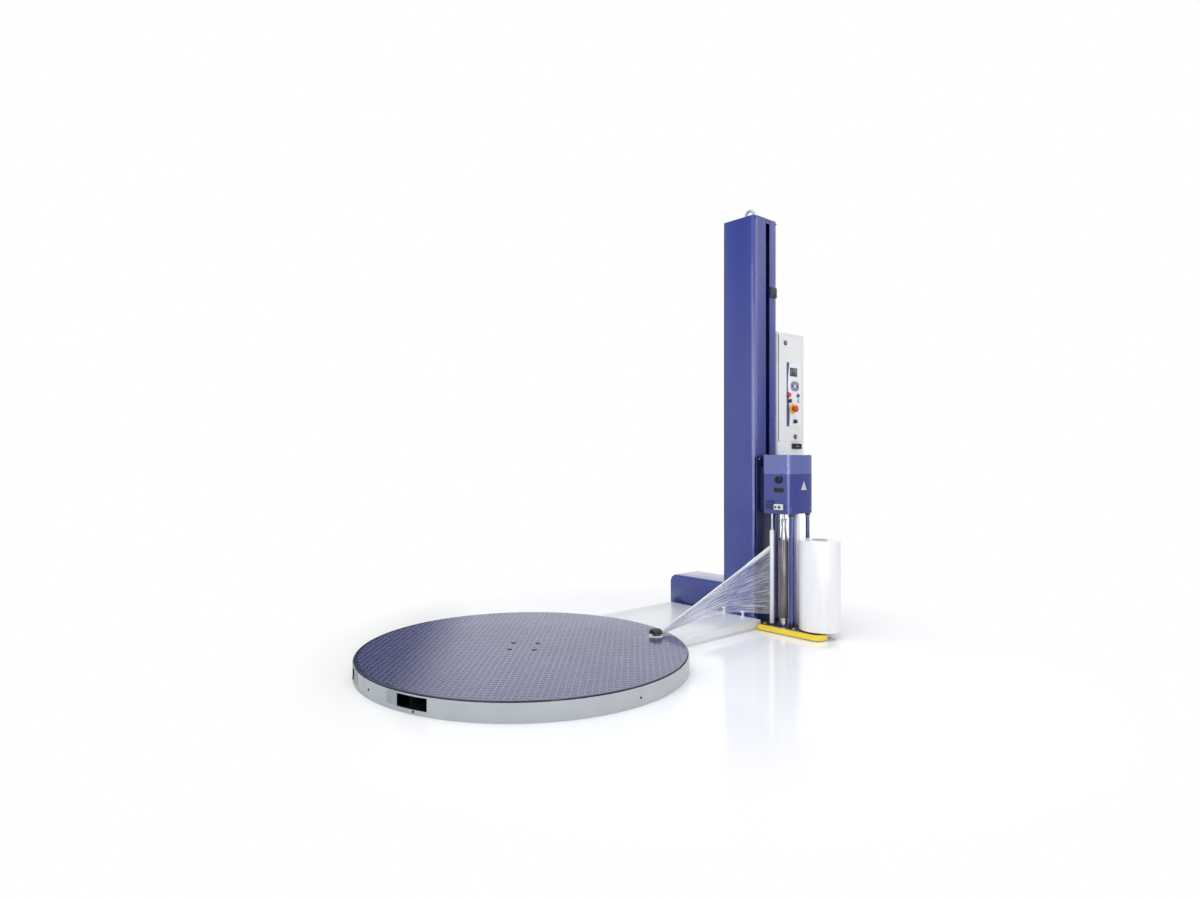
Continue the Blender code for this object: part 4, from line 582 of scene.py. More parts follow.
studio = {
    "floor": "#f4f5f6",
    "floorRoughness": 0.11,
    "floorReach": 8,
    "middle": (-0.75, 0.25, 0),  # the floor fades into the white round this place
    "clear": (1.05, 1.95),
    "world": 0.78,
    "tint": "#f6f8ff",
    "zones": (
        # what reflections see of the room: degrees round from X and up, where it starts and is full, level
        (86, 0, (0.862, 0.888), 0.05),
        (-34, -8, (0.920, 0.978), 0.28),
        (145, 32, (0.900, 0.970), 0.25),
        (212, 0, (0.978, 0.990), 5.0),
        (252, 0, (0.978, 0.990), 5.0),
    ),
    "front": (232, (0.10, 0.95), 0.32),  # less light comes from this side
    "lamps": (
        # name, place, aimed at, width, power, colour
        ("topSoftbox", (0.2, -0.4, 4.4), (0.6, 0.0, 0.0), (3.4, 3.4), 84, "#ffffff"),
        ("sideSoftbox", (3.4, -4.2, 2.4), (0.9, -0.1, 0.8), (2.6, 2.6), 36, "#fffdf8"),
        ("stripSoftbox", (-1.2, -3.9, 1.35), (1.42, -0.25, 1.2), (0.5, 2.8), 34, "#ffffff"),
        ("fillSoftbox", (-4.2, -1.2, 2.2), (0.6, 0.0, 0.7), (2.6, 2.6), 56, "#f4f7ff"),
    ),
}


def buildFloor():
    bm = bmesh.new()
    bmesh.ops.create_grid(bm, x_segments=8, y_segments=8, size=studio["floorReach"])
    bmesh.ops.translate(bm, verts=bm.verts, vec=(0, 0, -0.0004))
    material, tree, _ = startMaterial("studioFloor", studio["floor"], studio["floorRoughness"])
    where = measureVector(tree, "LENGTH", objectPlace(tree, shift=studio["middle"]))
    away = rescale(tree, where, *studio["clear"], kind="SMOOTHSTEP")
    seen = addNode(tree, "ShaderNodeLightPath").outputs["Is Camera Ray"]
    white = addNode(tree, "ShaderNodeEmission", {"Color": (1, 1, 1, 1), "Strength": 1.0}).outputs[0]
    own = tree.nodes["Principled BSDF"].outputs[0]
    share = times(tree, away, seen, True)
    mixed = addNode(tree, "ShaderNodeMixShader", {0: share, 1: own, 2: white})
    feed(tree, tree.nodes["Material Output"].inputs["Surface"], mixed.outputs[0])
    placePiece("studioFloor", bm, material, None, None)


def buildRoom():
    scene.world.use_nodes = True
    tree = scene.world.node_tree
    tree.nodes.clear()
    path = addNode(tree, "ShaderNodeLightPath").outputs
    facing = addNode(tree, "ShaderNodeTexCoord").outputs["Generated"]

    def turnedTo(degrees, rise=0):
        flat = math.cos(math.radians(rise))
        around = math.radians(degrees)
        aim = (flat * math.cos(around), flat * math.sin(around), math.sin(math.radians(rise)))
        return measureVector(tree, "DOT_PRODUCT", facing, aim)

    def addSky(color, strength):
        return addNode(tree, "ShaderNodeBackground", {"Color": color, "Strength": strength}).outputs[0]

    room = 1.0
    for degrees, rise, edge, level in studio["zones"]:
        room = times(tree, room, rescale(tree, turnedTo(degrees, rise), *edge, 1.0, level))
    full = studio["world"]
    degrees, edge, level = studio["front"]
    light = addSky(studio["tint"], rescale(tree, turnedTo(degrees), *edge, full, full * level))
    back = addSky((1, 1, 1, 1), rescale(tree, path["Is Camera Ray"], 0, 1, room, 1.0))
    shown = calculate(tree, "MAXIMUM", path["Is Camera Ray"], path["Is Glossy Ray"])
    shown = calculate(tree, "MAXIMUM", shown, path["Is Transmission Ray"])
    both = addNode(tree, "ShaderNodeMixShader", {0: shown, 1: light, 2: back}).outputs[0]
    addNode(tree, "ShaderNodeOutputWorld", {"Surface": both})


def buildStudio():
    buildFloor()
    buildRoom()
    for name, place, target, width, power, color in studio["lamps"]:
        data = bpy.data.lights.new(name, "AREA")
        data.shape = "RECTANGLE"
        data.size, data.size_y = width
        data.energy = power
        data.color = hexColor(color)[:3]
        lamp = bpy.data.objects.new(name, data)
        lamp.location = place
        lamp.rotation_euler = (Vector(target) - Vector(place)).to_track_quat("-Z", "Y").to_euler()
        scene.collection.objects.link(lamp)
    scene.view_settings.view_transform = "Standard"
    print("studio ready")


# turntable

deck = {
    "pitch": 0.0185,
    "mark": (0.0112, 0.0038),  # half length and half width of a raised mark
    "height": 0.0012,
    "sunk": 0.0002,
    "rim": 0.006,
    "bolts": 0.080,
    "boltGap": 0.021,
    # the dark well round each head is a flat black ring, painted shade for the recess
    "boltSize": (0.0062, 0.0125),  # the head and the dark well round it
    "boltDepth": 0.0025,
    "clampGap": 0.046,
}


def boltPlaces():
    return [Vector((deck["bolts"] * x, deck["bolts"] * y, 0)) for x, y in ((1, 0), (-1, 0), (0, 1), (0, -1))]


def buildTurntable():
    refine("turntable_disc", deckPaint, 0.0006)
    _, high, _, radius = measure("turntable_disc")
    clamp = measure("clamp_washer")[2] * Vector((1, 1, 0))
    top, pitch, mark, sunk = high.z, deck["pitch"], deck["mark"], deck["sunk"]
    bm = bmesh.new()
    for column, row, degrees in ((0, 0, -45), (0, 1, 45), (1, 0, 45), (1, 1, -45)):
        turn = Matrix.Rotation(math.radians(degrees), 4, "Z")
        place = Matrix.Translation((column * pitch, row * pitch, top - sunk)) @ turn
        addRaised(bm, 6, mark, deck["height"] + sunk, place, 0.72)
    count = int(radius / pitch) + 1
    for step in (Vector((2 * pitch, 0, 0)), Vector((0, 2 * pitch, 0))):
        unit = bm.verts[:] + bm.edges[:] + bm.faces[:]
        for number in range(1, count):
            copy = bmesh.ops.duplicate(bm, geom=unit)
            verts = [item for item in copy["geom"] if isinstance(item, bmesh.types.BMVert)]
            bmesh.ops.translate(bm, verts=verts, vec=step * number)
    half = (count - 0.5) * pitch
    bmesh.ops.translate(bm, verts=bm.verts, vec=(-half, -half, 0))
    lost = set()
    for face in bm.faces:
        flat = face.calc_center_median()
        if len(face.verts) != 6 or flat.z < top:
            continue
        flat.z = 0
        outside = flat.length > radius - deck["rim"] - mark[0] * 0.75
        atBolt = min((flat - place).length for place in boltPlaces()) < deck["boltGap"]
        if outside or atBolt or (flat - clamp).length < deck["clampGap"]:
            lost.update(face.verts)
            lost.update(edge.other_vert(vert) for vert in face.verts for edge in vert.link_edges)
    bmesh.ops.delete(bm, geom=list(lost), context="VERTS")
    placePiece("deckTread", bm, treadLitPaint, "disc_navy", "turntable", angle=20)

    # a flat black ring round each head: painted shade for its well
    screws, wellShade = bmesh.new(), bmesh.new()
    head, well = deck["boltSize"]
    profile = ((head, -0.001), (head, 0.0003), (well - 0.002, 0.0003), (well - 0.0008, 0.0010), (well, 0.0007))
    profile += ((well, -0.001), (head, -0.001))
    for place in boltPlaces():
        addScrew(screws, (place.x, place.y, top - deck["boltDepth"]), up, head, 0.0033)
        addTurned(wellShade, profile, (place.x, place.y, top), steps=32)
    placePiece("deckScrews", screws, *oiled, "turntable")
    placePiece("deckBoltWellShade", wellShade, beltRubber, "dark_steel", "turntable")
    print("turntable ready")


# film clamp

clampKnob = {"grip": {"lobes": 5, "lobeDepth": 0.20}, "capHeight": 0.021, "stem": 0.0049}


def buildClamp():
    low, high, middle, radius = measure("clamp_knob")
    place = (middle.x, middle.y, 0)
    base = high.z - clampKnob["capHeight"]
    stem, foot = clampKnob["stem"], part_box("clamp_washer")[1].z + seat
    top = high.z
    profile = ((0, top - 0.003), (radius * 0.30, top - 0.003), (radius * 0.36, top), (radius * 0.66, top))
    profile += ((radius * 0.86, top - 0.003), (radius * 0.97, top - 0.008), (radius, base + 0.003))
    profile += ((radius * 0.96, base), (radius * 0.4, base - 0.001), (0, base - 0.001))
    node = "clamp_knob"
    turnPiece("clampKnobCap", profile, place, moulded, node, (node,), 50, steps=80, **clampKnob["grip"])
    profile = ((0, base), (radius * 0.42, base), (radius * 0.42, foot + 0.004), (radius * 0.62, foot + 0.001))
    profile += ((radius * 0.62, foot), (stem, foot), (stem, low.z), (0, low.z))
    turnPiece("clampKnobStem", profile, place, zinc, node, steps=40)
    refine("clamp_washer", whitePlastic, 0.0005)
    print("clamp ready")


# base and ring

base = {
    "label": (math.radians(10.1), math.radians(14.6), 0.0205, 0.0725),  # its ends round the ring, low, high
    "labelThick": 0.0004,
    "screws": ((180, 0.038), (-90, 0.033), (90, 0.033), (-159, 0.012), (159, 0.012)),  # degrees round, height
    "bolts": ((1.388, -0.066, 0.0400), (1.388, -0.199, 0.0355)),  # the last is how far one stands up
    "shank": 0.0065,
    "head": 0.0115,
}


def buildBase():
    refine("base_ring", ringPaint, 0.0005)
    refine("base_plate", platePaint, 0.0006)
    refine("arm_cover", greyPaint, 0.0010)
    refine("mast_foot", greyPaint, 0.0012)
    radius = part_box("base_ring")[1].x + 0.0001
    outer = radius + base["labelThick"]
    start, end, low, high = base["label"]
    for name, side in (("blankLabelLeft", 1), ("blankLabelRight", -1)):
        part = bmesh.new()
        for r, z in ((radius, low), (outer, low), (outer, high), (radius, high)):
            part.verts.new((r, 0, z))
        section = [part.faces.new(part.verts)] + part.verts[:] + part.edges[:]
        bmesh.ops.rotate(part, matrix=Matrix.Rotation(math.pi + side * start, 3, "Z"), verts=part.verts)
        bmesh.ops.spin(part, geom=section, axis=up, angle=side * (end - start), steps=8)
        bm = bmesh.new()
        addPart(bm, part)
        placePiece(name, bm, labelGrey, "light_grey", "frame")
    bm = bmesh.new()
    for degrees, z in base["screws"]:
        out = Vector((math.cos(math.radians(degrees)), math.sin(math.radians(degrees)), 0))
        addScrew(bm, out * (radius - 0.0005) + Vector((0, 0, z)), out, 0.0048, 0.0022)
    placePiece("ringScrews", bm, *oiled, "frame")

    # two levelling bolts that stand on the arm beside the mast
    bm = bmesh.new()
    shank, head = base["shank"], base["head"]
    for x, y, tall in base["bolts"]:
        profile = ((0, tall), (head - 0.002, tall), (head, tall - 0.002), (head, tall - 0.009))
        profile += ((shank, tall - 0.009), (shank, 0.008), (0.011, 0.008), (0.012, 0.007))
        profile += ((0.012, 0.0003), (0, 0.0003))
        addTurned(bm, profile, (x, y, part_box("arm_cover")[1].z), steps=32)
    # white paint stands in for the shine of bright steel: painted reflection
    placePiece("footBolts", bm, rollerWhite, "bright_steel", "frame", angle=40)
    print("base ready")


# mast

mast = {
    "top": 2.324,
    "corner": 0.024,
    "screws": ((1.527, 2.309), (1.560, 2.309), (1.4285, 2.309), (1.6245, 2.309)),
    "eyeRadius": 0.026,
    "eyeWire": 0.009,
    "collar": 0.018,
}


def buildMast():
    refine("mast_column", bluePaint, 0.0010, 3)
    low, high, middle, _ = measure("mast_column")
    middle.z = mast["top"]
    bm = bmesh.new()
    addBlock(bm, (low.x, low.y, high.z + seat), (high.x, high.y, middle.z), mast["corner"], 8, 2)
    placePiece("mastTopPlate", bm, bluePaint, "mast_blue", "frame", ("mast_cap",), 35, 0.0010, 2)
    bm = bmesh.new()
    collar, radius, wire = mast["collar"], mast["eyeRadius"], mast["eyeWire"]
    profile = ((0, 0.022), (collar - 0.007, 0.022), (collar - 0.002, 0.017), (collar, 0.010), (collar, 0.0002))
    addTurned(bm, profile + ((0, 0.0002),), middle, steps=40)
    middle.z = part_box("mast_cap")[1].z - radius - wire
    addRing(bm, radius, wire, middle, (1, 0, 0), 56, 20)
    placePiece("liftingEye", bm, castGalvanised, "bright_steel", "frame", angle=60)
    bm = bmesh.new()
    for x, z in mast["screws"]:
        addScrew(bm, (x, low.y, z), front, 0.0042, 0.0020)
    placePiece("mastScrews", bm, *oiled, "frame")

    # switch at the top of the carriage's travel, with a raised lid
    low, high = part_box("limit_switch")
    bm = bmesh.new()
    addBlock(bm, low, high, 0.002)
    lid = Vector((0.008, 0, 0.010))
    addBlock(bm, low + lid - Vector((0, 0.0012, 0)), Vector((high.x, low.y + 0.001, high.z)) - lid, 0.0008, 2)
    placePiece("limitSwitchBody", bm, *moulded, "frame", ("limit_switch",))
    print("mast ready")


# motor cover

motorCover = {"farRound": 0.050, "edgeRound": 0.013, "wall": 0.0025}


def buildMotorCover():
    low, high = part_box("motor_cover")
    bm = makeCube(low, high)

    def liesAt(edge, axis, value):
        return all(abs(vert.co[axis] - value) < 0.0001 for vert in edge.verts)

    far = [e for e in bm.edges if liesAt(e, 1, high.y) and liesAt(e, 2, high.z)]
    roundOff(bm, far, motorCover["farRound"], 10)
    rims = [e for e in bm.edges if liesAt(e, 0, low.x) or liesAt(e, 0, high.x)]
    rims = [e for e in rims if not liesAt(e, 1, low.y) and not liesAt(e, 2, low.z)]
    roundOff(bm, rims, motorCover["edgeRound"], 5)
    bmesh.ops.delete(bm, geom=[f for f in bm.faces if f.normal.z < -0.99], context="FACES")
    finish = (bluePaint, slotOf["motor_cover"])
    piece = placePiece("motorCoverHood", bm, *finish, bodyOf["motor_cover"], ("motor_cover",))
    wall = piece.modifiers.new("wall", "SOLIDIFY")
    wall.thickness = motorCover["wall"]
    wall.offset = -1
    print("motor cover ready")


# carriage

carriage = {
    "louvres": 5,
    "louvreRows": (0.676, 0.717),
    "louvreSpan": (-0.390, -0.326),
    "grip": ((-0.443, -0.382), (0.766, 0.785)),
    "gripEdge": 0.003,
    "sign": ((1.5695, 0.794), 0.0325),
    "filler": (1.520, -0.390),
    "lidScrews": ((1.441, -0.458), (1.646, -0.458), (1.441, -0.320), (1.646, -0.320)),
    "sideScrews": ((1.450, 0.672), (1.638, 0.672)),
    "lenses": ((-0.011, 0.0085), (0.013, 0.0060)),  # from the middle, radius
    "plateBolts": ((1.440, 0.330), (1.620, 0.330), (1.440, 0.945), (1.620, 0.945)),
}


def buildHeadFront(face):
    start, end = carriage["louvreRows"]
    near, far = carriage["louvreSpan"]
    louvres, slitShade = bmesh.new(), bmesh.new()
    for number in range(carriage["louvres"]):
        z = start + (end - start) * number / (carriage["louvres"] - 1)
        addBlock(louvres, (face - 0.0022, near, z - 0.0018), (face + 0.0010, far, z + 0.0018), 0.0014)
        # under each louvre a black strip: painted shade in its opening
        z -= 0.0042
        ends = (face - 0.0005, near + 0.001, z - 0.0022), (face + 0.0010, far - 0.001, z + 0.0022)
        addBlock(slitShade, *ends, 0.0004, 2)
    placePiece("headLouvres", louvres, bluePaint, "mast_blue", "carriage")
    placePiece("headSlits", slitShade, blackPaint, "black_steel", "carriage")

    (near, far), (low, high) = carriage["grip"]
    edge = carriage["gripEdge"]
    # a black block, painted shade for the recessed grip opening
    bm = bmesh.new()  # half of it lies behind the head's face
    addBlock(bm, (face - edge, near, low - 0.002), (face + edge + 0.0001, far, high + 0.002), edge)
    placePiece("headGrip", bm, beltRubber, "black_plastic", "carriage")


def buildPhotocell():
    low, high, middle, _ = measure("photocell")
    bm = bmesh.new()
    addBlock(bm, low, high, 0.004, 4)
    placePiece("photocellBody", bm, whitePlastic, "white_plastic", "carriage", ("photocell",), 45)
    bm = bmesh.new()
    for y, radius in carriage["lenses"]:
        profile = ((0, 0.0008), (radius * 0.6, 0.0016), (radius * 0.85, 0.0012), (radius * 0.9, 0.0026))
        profile += ((radius, 0.0026), (radius, -0.001), (0, -0.001))
        addTurned(bm, profile, (low.x, middle.y + y, middle.z), left, 32)
    placePiece("photocellLenses", bm, screenGlass, "display_dark", "carriage", angle=45)


def buildTensionKnob(face):
    x, y, z = (face, *measure("tension_knob")[2].yz)
    bm = bmesh.new()
    profile = ((0, 0.012), (0.008, 0.012), (0.0085, 0.014), (0.0165, 0.014), (0.0195, 0.0115), (0.0200, 0.003))
    profile += ((0.0190, 0.0008), (0.006, 0.0008), (0.006, -0.005), (0, -0.005))
    addTurned(bm, profile, (x, y, z), left, 96, 24, 0.05)
    addBlock(bm, (x - 0.0155, y - 0.0012, z + 0.006), (x - 0.0125, y + 0.0012, z + 0.017), 0.0006, 2)
    placePiece("tensionKnobGrip", bm, darkMetal, "motor_grey", "tension_knob", ("tension_knob",), 40)


def buildHead():
    refine("head_housing", bluePaint, 0.0010, 3)
    refine("head_lid", lidPaint, 0.0014, 3)
    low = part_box("head_housing")[0]
    buildHeadFront(low.x)

    # a plain triangular plate with nothing on it
    (x, z), reach = carriage["sign"]
    bm = bmesh.new()
    place = Matrix.Translation((x, low.y - 0.0001, z - 0.004)) @ Matrix.Rotation(math.pi / 2, 4, "X")
    addRaised(bm, 3, (reach, reach), 0.0007, place)
    placePiece("blankTriangle", bm, paleLabel, "light_grey", "carriage")

    bm = bmesh.new()
    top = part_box("head_lid")[1].z
    profile = ((0, 0.006), (0.0055, 0.006), (0.0065, 0.005), (0.0065, 0.0001), (0, 0.0001))
    addTurned(bm, profile, (*carriage["filler"], top), steps=6)
    for x, y in carriage["lidScrews"]:
        addScrew(bm, (x, y, top), up, 0.0042, 0.0018)
    for x, z in carriage["sideScrews"]:
        addScrew(bm, (x, low.y, z), front, 0.0042, 0.0018)
    placePiece("headScrews", bm, *zinc, "carriage")
    buildPhotocell()
    buildTensionKnob(low.x)
    print("head ready")


rollers = {
    # middle, radius, low and high of the sleeve, top of the shaft
    "exit_roller": ((1.445, -0.354, 0), 0.0125, 0.035, 0.551, 0.654),
    "idle_roller": ((1.532, -0.4555, 0), 0.0145, 0.035, 0.630, 0.654),
    "stretch_roller_front": ((1.468, -0.4135, 0), 0.0273, 0.072, 0.499, 0.676),
    "stretch_roller_rear": ((1.545, -0.3655, 0), 0.0273, 0.072, 0.499, 0.676),
}
shaft = {"radius": 0.006, "bottom": 0.021, "coupling": 0.100, "collar": 0.0035}


def buildRollers():
    thick, bottom, joint = shaft["radius"], shaft["bottom"], shaft["coupling"]
    for name, (place, radius, low, high, top) in rollers.items():
        stretches = name.startswith("stretch")
        inner, rim, bend = thick + 0.0002, radius - 0.0025, radius - 0.0008
        profile = ((inner, high - 0.001), (rim, high), (bend, high - 0.0006), (radius, high - 0.002))
        profile += ((radius, low + 0.002), (bend, low + 0.0006), (rim, low), (inner, low + 0.001))
        profile += ((inner, high - 0.001),)
        finish = (sleeveRubber, "stretch_rubber") if stretches else (rollerWhite, "roller_white")
        turnPiece(camel(name) + "Sleeve", profile, place, finish, name, (name,), 40, steps=64)
        bm = bmesh.new()
        if stretches:
            profile = ((0, top), (thick, top), (thick, high + joint), (0.0125, high + joint))
            profile += ((0.0125, high + 0.082), (0.0095, high + 0.080), (0.0105, high + 0.060))
            profile += ((0.0165, high + 0.0105), (0.0185, high + 0.009), (0.0185, high + 0.0002))
            profile += ((thick, high + 0.0002), (thick, low - 0.0002), (0.0218, low - 0.0002))
            profile += ((0.0218, 0.035), (thick, 0.035))
        else:
            profile = ((0, top), (thick, top), (thick, high + 0.012), (0.0085, high + 0.011))
            profile += ((0.0085, high + 0.0004), (thick, high + 0.0004), (thick, low - 0.0002))
        addTurned(bm, profile + ((thick, bottom), (0, bottom)), place, steps=40)
        if stretches:
            addRaised(bm, 6, (0.0165, 0.0165), 0.010, Matrix.Translation((*place[:2], high + joint - 0.0002)))
        placePiece(camel(name) + "Shaft", bm, *zinc, name, angle=40)

    for name in ("inner_post", "front_post", "rear_post"):
        refine(name, bluePaint, 0.0006)
        low, high, middle, radius = measure(name)
        outer = radius + shaft["collar"]
        bm = bmesh.new()
        for z, tall in ((low.z, 0.020), (high.z - 0.014, 0.014)):
            profile = ((radius, tall), (outer - 0.001, tall), (outer, tall - 0.001), (outer, 0.001))
            profile += ((outer - 0.001, 0.0002), (radius, 0.0002), (radius, tall))
            addTurned(bm, profile, (middle.x, middle.y, z), steps=40)
        placePiece(camel(name) + "Collars", bm, *moulded, "carriage", angle=40)
    print("rollers ready")


roll = {"layers": 7, "unevenness": (0.0004, 0.0012, 0.0002, 0.0009)}


def buildFilmRoll():
    low, high, middle, radius = measure("film_roll")
    tall = high.z - low.z
    inner = measure("roll_core")[3] + seat
    profile = [(inner, tall - 0.0010)]
    for number in range(roll["layers"]):  # the ends of the layers stand a little unevenly
        share = (number + 0.5) / roll["layers"]
        profile.append((inner + (radius - inner) * share, tall - roll["unevenness"][number % 4]))
    profile += [(radius - 0.0016, tall), (radius - 0.0004, tall - 0.0005), (radius, tall - 0.0020)]
    profile += [(r, tall - height) for r, height in reversed(profile)]
    profile.append(profile[0])
    place = (middle.x, middle.y, low.z)
    finish = (woundFilm, "film_white")
    turnPiece("woundRoll", profile, place, finish, "film_supply", ("film_roll",), 30, steps=128)
    refine("roll_core", coreBoard, 0.0004)
    refine("roll_mandrel", blackPlastic, 0.0006)
    print("film roll ready")


def buildCarriage():
    # the backplate's navy is painted shade, the dark blue between the mast and the head
    refine("carriage_backplate", navyPaint, 0.0006)
    refine("carriage_floor", navyPaint)
    refine("bumper_bar", yellowPaint, 0.0050, 4, 40)
    for node in ("guide_wheels_lower", "guide_wheels_upper"):
        refine(node, whitePlastic, 0.0006)
    bm = bmesh.new()
    for x, z in carriage["plateBolts"]:
        addScrew(bm, (x, -0.275, z), front, 0.0060, 0.0035)
    placePiece("backplateBolts", bm, *zinc, "carriage")
    print("carriage ready")


# control cabinet

cabinet = {
    "bezel": 0.006,
    "keys": (
        # name, finish, places from the middle
        ("keyDomesBlue", (bluePlastic, "mast_blue"), (-0.026, 0.026)),
        ("keyDomesWhite", (whitePlastic, "white_plastic"), (0.0,)),
    ),
    "collar": 0.030,
    "locks": {"door_lock_upper": 1.628, "door_lock_lower": 1.078},
    "pins": (-0.009, 0, 0.009),
    "vents": (6, 0.800, 0.014, 0.760, (-0.210, -0.110)),  # rows, lowest, pitch, between the two sets, ends
}


def buildDisplay():
    low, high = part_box("display")
    bm = bmesh.new()
    addBlock(bm, low, high, 0.004, 4, 1)
    bmesh.ops.inset_region(bm, faces=[f for f in bm.faces if f.normal.y < -0.99], thickness=cabinet["bezel"])
    inner = max((f for f in bm.faces if f.normal.y < -0.99), key=lambda f: f.calc_area())
    bmesh.ops.translate(bm, verts=inner.verts, vec=(0, 0.0012, 0))
    placePiece("displayBezel", bm, *moulded, "cabinet_door", ("display",), 35, 0.0003)
    bm = bmesh.new()
    edge = cabinet["bezel"] + 0.0004
    glassLow = (low.x + edge, low.y + 0.0006, low.z + edge)
    addBlock(bm, glassLow, (high.x - edge, low.y + 0.0014, high.z - edge), 0.0003, 2)
    placePiece("displayGlass", bm, screenGlass, "display_dark", "cabinet_door")

    refine("keypad", greyPlastic, 0.0005)
    low, _, middle, _ = measure("keypad")
    profile = ((0, 0.0016), (0.004, 0.0015), (0.0075, 0.0010), (0.0090, 0.0003), (0.0090, -0.0006))
    profile += ((0, -0.0006),)
    for name, finish, places in cabinet["keys"]:
        bm = bmesh.new()
        for x in places:
            addTurned(bm, profile, (middle.x + x, low.y, middle.z), front, 32)
        placePiece(name, bm, *finish, "cabinet_door", angle=50)


def buildButtons():
    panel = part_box("control_panel")[0].y
    low, high, middle, _ = measure("estop_collar")
    deep, outer, inner = high.y - low.y, cabinet["collar"], 0.0145
    profile = ((inner, deep), (outer - 0.0015, deep), (outer, deep - 0.0012), (outer, 0.0002), (inner, 0.0002))
    profile += ((inner, deep),)
    place, finish = (middle.x, high.y, middle.z), (collarYellow, "stop_yellow")
    turnPiece("estopCollarDisc", profile, place, finish, "cabinet_door", ("estop_collar",), 35, front, 64)
    node = "estop_button"
    low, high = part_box(node)
    stand = high.y - low.y
    profile = ((0, stand), (0.010, stand - 0.0004), (0.0170, stand - 0.0022), (0.0205, stand - 0.0062))
    profile += ((0.0210, stand - 0.0105), (0.0195, stand - 0.0140), (0.0140, stand - 0.0165), (0.0138, 0.0165))
    profile += ((0.0100, 0.0160), (0.0100, 0.0005), (0, 0.0005))
    place = (middle.x, high.y, middle.z)
    turnPiece("estopMushroom", profile, place, (redPlastic, "stop_red"), node, (node,), 50, front, 64)

    for node, *finish in (
        ("red_button", redPlastic, "stop_red"),
        ("reset_button", bluePlastic, "keypad_grey"),
        ("start_button", whitePlastic, "keypad_grey"),
    ):
        low, high, middle, radius = measure(node)
        stand, collar = high.y - low.y, high.y - panel + 0.0035
        profile = ((0, stand - 0.0012), (radius * 0.6, stand - 0.0010), (radius * 0.80, stand))
        profile += ((radius * 0.96, stand - 0.0006), (radius, stand - 0.0020), (radius, collar))
        profile += ((radius * 0.5, collar), (radius * 0.5, 0.0002), (0, 0.0002))
        turnPiece(camel(node) + "Cap", profile, (middle.x, high.y, middle.z), finish, node, (node,), 40, front)
        inner, outer = radius + 0.0004, radius + 0.0018
        profile = ((inner, 0.0034), (outer - 0.0006, 0.0034), (outer, 0.0026), (outer, 0.0003))
        profile += ((inner, 0.0003), (inner, 0.0034))
        place = (middle.x, panel, middle.z)
        turnPiece(camel(node) + "Bezel", profile, place, oiled, "cabinet_door", (), 40, front)


def buildKnobs():
    for node in ("selector_switch", "speed_knob"):
        low, high, middle, radius = measure(node)
        x, z = middle.x, middle.z
        panel = high.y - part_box("control_panel")[0].y
        selects = node == "selector_switch"
        cap = high.y - low.y - (0.006 if selects else 0.0004)
        profile = ((0, cap), (radius * 0.80, cap), (radius * 0.92, cap - 0.0008), (radius, panel + 0.0014))
        stem = radius * 0.45
        profile += ((radius, panel + 0.0006), (stem, panel + 0.0006), (stem, 0.0002), (0, 0.0002))
        bm = bmesh.new()
        addTurned(bm, profile, (x, high.y, z), front, 72, 0 if selects else 18, 0.08)
        if selects:
            ends = (x - 0.0026, low.y, low.z + 0.0006), (x + 0.0026, high.y - cap + 0.001, high.z - 0.0006)
            addBlock(bm, *ends, 0.0012)
        else:
            ends = (x - 0.0007, low.y - 0.0002, z + 0.002), (x + 0.0007, low.y + 0.001, high.z - 0.0012)
            addBlock(bm, *ends, 0.0003, 2)
        placePiece(node.split("_")[0] + "Grip", bm, *moulded, node, (node,), 40)

    profile = ((0, 0.0006), (0.0060, 0.0010), (0.0068, 0.0010), (0.0072, 0.0003), (0.0072, -0.0004))
    profile += ((0, -0.0004),)
    for node, z in cabinet["locks"].items():
        refine(node, blackPlastic, 0.0006)
        low, _, middle, _ = measure(node)
        x, y = middle.x, low.y
        bm = bmesh.new()
        addTurned(bm, profile, (x, y, z), front, 32)
        addBlock(bm, (x - 0.0007, y - 0.0016, z - 0.0045), (x + 0.0007, y - 0.0004, z + 0.0045), 0.0003, 2)
        placePiece(node.split("_")[2] + "LockCore", bm, *zinc, node)


def buildInlet():
    low, high, middle, _ = measure("power_socket")
    bm = bmesh.new()
    addBlock(bm, (low.x, low.y + 0.004, low.z), high, 0.003, 3, 1)
    ends = (low.x + 0.010, low.y, low.z + 0.004), (high.x - 0.010, low.y + 0.0045, high.z - 0.004)
    addBlock(bm, *ends, 0.002, 3, 1)

    def faces():
        return [f for f in bm.faces if f.normal.y < -0.99 and f.calc_center_median().y < low.y + 0.0001]

    bmesh.ops.inset_region(bm, faces=faces(), thickness=0.0022)
    inner = max(faces(), key=lambda f: f.calc_area())
    bmesh.ops.translate(bm, verts=inner.verts, vec=(0, 0.010, 0))
    placePiece("powerInletHousing", bm, *moulded, "frame", ("power_socket",), 35, 0.0004)
    bm = bmesh.new()
    for offset in cabinet["pins"]:
        x, z = middle.x + offset, middle.z
        ends = (x - 0.0011, low.y + 0.002, z - 0.0035), (x + 0.0011, low.y + 0.0105, z + 0.0035)
        addBlock(bm, *ends, 0.0004, 2)
    placePiece("powerInletPins", bm, *zinc, "frame")


def buildCabinet():
    refine("cabinet_shell", cabinetPaint, 0.0010, 3)
    refine("cabinet_door", cabinetPaint, 0.0007)
    refine("control_panel", panelOverlay, 0.0005)
    buildDisplay()
    buildButtons()
    buildKnobs()
    buildInlet()
    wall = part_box("cabinet_shell")[1].x
    rows, lowest, pitch, apart, (near, far) = cabinet["vents"]
    bm = bmesh.new()
    for number in range(rows):
        for z in (lowest + number * pitch, lowest + number * pitch + apart):
            addBlock(bm, (wall - 0.0005, near, z), (wall + 0.0022, far, z + 0.005), 0.0016)
    placePiece("cabinetVents", bm, cabinetPaint, "light_grey", "frame")
    print("cabinet ready")


